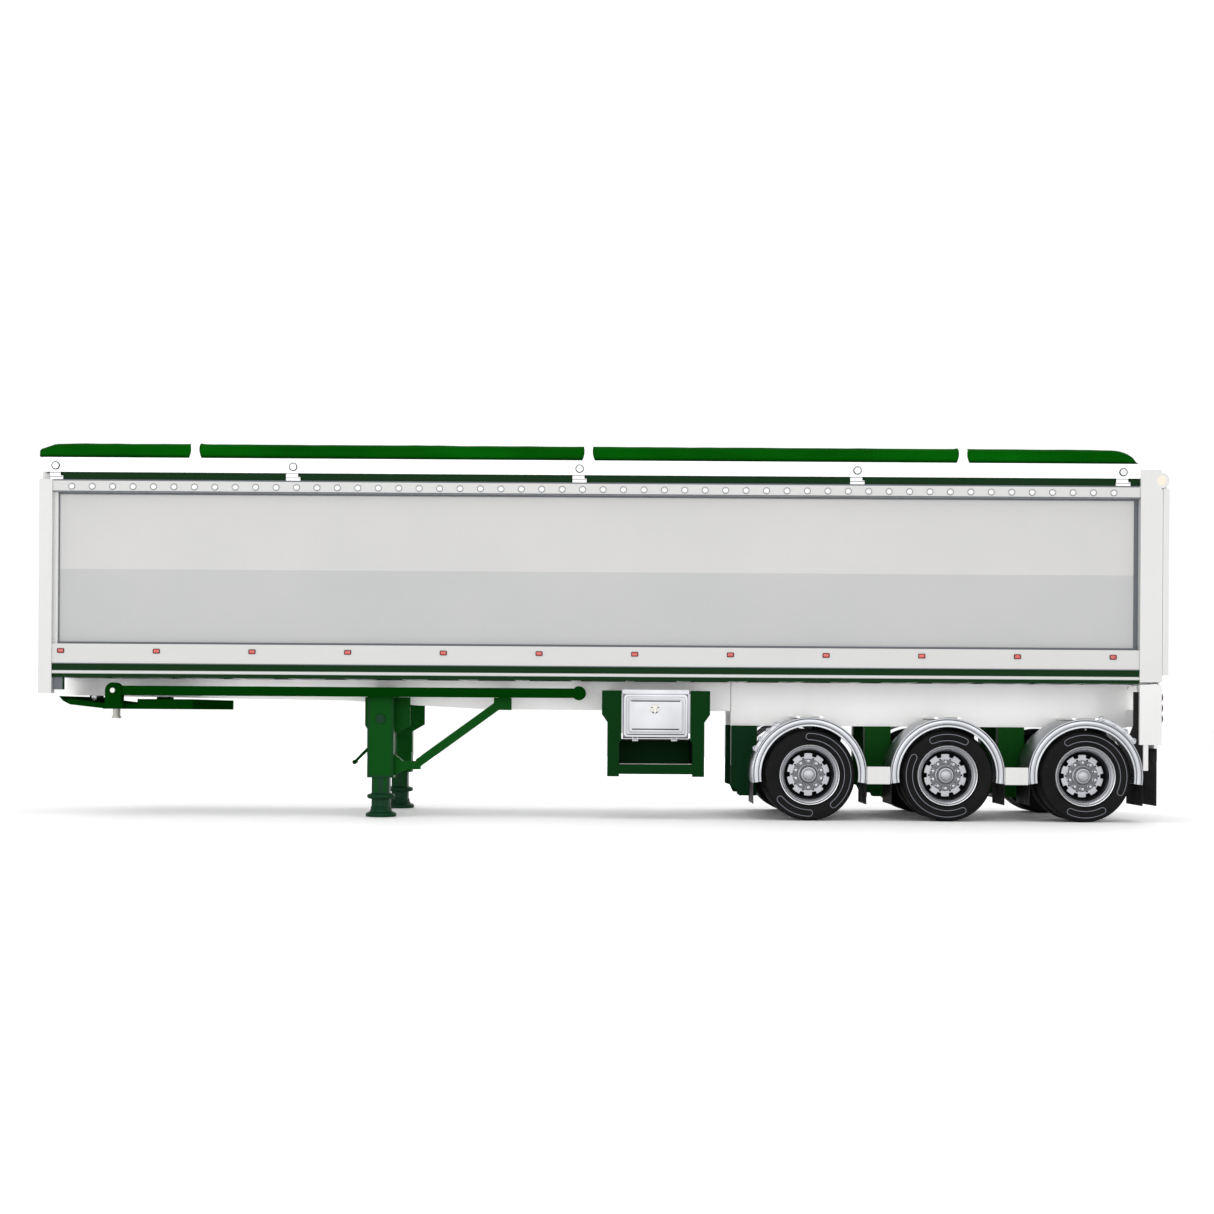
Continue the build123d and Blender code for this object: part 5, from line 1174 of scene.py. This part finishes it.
door = Shape(bright_sheet, painted_shade_black, zinc_plate)
rings = [[(x, door_back, z) for x, z in rounded_frame(0.0, 0.03)]]
for inset, rise, radius in press_steps:
    rings.append([(x, door_back - rise, z) for x, z in rounded_frame(inset, radius)])
door.rings(rings, 0)
last = rings[-1]
door.add(last, [list(range(len(last)))], 0)
door.add(rings[0], [list(range(len(rings[0])))], 0)
field_y = door_back - press_steps[-1][1]
# Painted shadow: a thin near-black strip under each raised rib, and another low on the door.
for z_low, inset in ((plain_top - 0.086, 0.09), (plain_bottom + 0.088, 0.1)):
    door.box((door_left + inset, field_y - 0.001, z_low),
             (door_right - inset, field_y + 0.002, z_low + 0.013), 1)
    door.box((door_left + inset, field_y - 0.006, z_low + 0.013),
             (door_right - inset, field_y + 0.002, z_low + 0.019), 0)
door.box((door_left + 0.04, field_y - 0.008, plain_bottom + 0.032),
         (door_right - 0.04, field_y - 0.0065, plain_bottom + 0.04), 1)
for x in (door_left + 0.137, door_right - 0.157):
    for gap in (-0.034, 0.02):
        door.turned([(0.0, x + gap + 0.0004), (0.014, x + gap + 0.0004), (0.014, x + gap + 0.013),
                     (0.0, x + gap + 0.013)],
                    (0, hinge_y, hinge_z), "x", 0, 20)
        door.box((x + gap, hinge_y - 0.005, hinge_z),
                 (x + gap + 0.0134, hinge_y + 0.005, plain_bottom + 0.01), 0)
made = door.build("tool_box_pressed_door")
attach(made, "tool_box_door")
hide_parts("tool_box_door")
low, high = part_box("tool_box_latch")
latch_x = (low.x + high.x) / 2
latch_z = joint_place("tool_box_latch_turn")[2]
stem_end_y = -1.155
# The dark bar low on the latch plate and the two screw heads take the near-black painted shade.
latch = Shape(zinc_plate, painted_shade_black)
latch.turned([(0.0, field_y + 0.003), (0.052, field_y + 0.003), (0.052, field_y - 0.004),
              (0.047, field_y - 0.007),
              (0.02, field_y - 0.007), (0.018, field_y - 0.004), (0.0, field_y - 0.004)],
              (latch_x, 0, latch_z), "y", 0, 32)
latch.box((latch_x - 0.011, low.y + 0.001, latch_z - 0.045),
          (latch_x + 0.011, field_y - 0.006, latch_z + 0.045), 0)
latch.box((latch_x - 0.03, field_y - 0.0078, latch_z - 0.046),
          (latch_x + 0.03, field_y - 0.006, latch_z - 0.034), 1)
for offset in (-0.034, 0.034):
    latch.turned([(0.0085, field_y - 0.0068), (0.0085, field_y - 0.0085), (0.0, field_y - 0.0085)],
                 (latch_x + offset, 0, latch_z + 0.016), "y", 1, 12)
latch.turned([(0.008, field_y), (0.008, stem_end_y), (0.0, stem_end_y)], (latch_x, 0, latch_z), "y", 0,
             12)
latch.box((latch_x - 0.01, stem_end_y - 0.008, latch_z - 0.01),
          (latch_x + 0.01, stem_end_y, latch_z + 0.06), 0)
made = latch.build("quarter_turn_latch", edge=0.001)
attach(made, "tool_box_latch")
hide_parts("tool_box_latch")

# ---- Tailgate ----
# A top-hung sheet gate with upright ribs and a sliding grain door, held shut at the sill by a
# pair of hooks on a cross shaft. Enamelled white, with a bright sliding door.
wear("tailgate", post_white)
wear("grain_door", bright_sheet)
wear("tailgate_hooks", zinc_plate)
for node in sorted(frame["nodes"]):
    part = frame["nodes"][node]
    if not part.hide_render and node != "tarp":
        part.data.polygons.foreach_set("use_smooth", [True] * len(part.data.polygons))
        part.data.set_sharp_from_angle(angle=math.radians(32))

# ---- Studio ----
# A nearly white floor without an edge in view, long soft panels of light on both sides with smaller
# ones above and behind, and a level camera well out to the near side, at the coupler's height.
floor_mesh = bpy.data.meshes.new("studio_floor")
floor_mesh.from_pydata([(-120, -60, 0), (120, -60, 0), (120, 160, 0), (-120, 160, 0)], [],
                       [(0, 1, 2, 3)])
studio_floor = bpy.data.objects.new("studio_floor", floor_mesh)
studio_floor.location.z = cad_low.z - 0.0005
bpy.context.scene.collection.objects.link(studio_floor)
pale = Finish("pale_floor")
grain = pale.ramp(pale.noise(0.15, 3.0), (0.3, 0.0), (0.8, 1.0))
pale.link("Base Color", pale.mix(grain, colour(251, 251, 251), colour(249, 249, 249)))
pale.link("Roughness", 0.75 + 0.1 * grain)
floor_mesh.materials.append(pale.material)

world = bpy.data.worlds.new("studio_air")
world.use_nodes = True
world.node_tree.nodes["Background"].inputs["Color"].default_value = (1.0, 1.0, 1.0, 1.0)
world.node_tree.nodes["Background"].inputs["Strength"].default_value = 1.06
bpy.context.scene.world = world


def soft_panel(name, width, height, power, place, aim):
    """A large softbox that faces its aim point."""
    light = bpy.data.lights.new(name, "AREA")
    light.shape = "RECTANGLE"
    light.size = width
    light.size_y = height
    light.energy = power
    lamp = bpy.data.objects.new(name, light)
    lamp.location = place
    lamp.rotation_mode = "QUATERNION"
    lamp.rotation_quaternion = (Vector(aim) - Vector(place)).to_track_quat("-Z", "Y")
    bpy.context.scene.collection.objects.link(lamp)


soft_panel("near_softbox", 44.0, 11.0, 2900, (-2.0, -26.0, 6.0), (0, 0, 1.6))
soft_panel("far_softbox", 44.0, 11.0, 2900, (2.0, 26.0, 6.0), (0, 0, 1.6))
soft_panel("top_softbox", 12.0, 12.0, 300, (0.0, 0.0, 13.0), (0, 0, 0))
soft_panel("rear_softbox", 8.0, 8.0, 120, (12.0, 9.0, 8.0), (0, 0, 2.0))

camera_data = bpy.data.cameras.new("side_camera")
camera_data.sensor_width = 36.0
camera_data.lens = 52.5
camera_data.shift_y = 0.0865
camera_data.clip_end = 400.0
camera = bpy.data.objects.new("side_camera", camera_data)
camera.location = (0.045, -21.25, 1.215)
camera.rotation_euler = (math.radians(90), math.radians(-0.37), 0)
bpy.context.scene.collection.objects.link(camera)
bpy.context.scene.camera = camera
bpy.context.scene.view_settings.view_transform = "Standard"
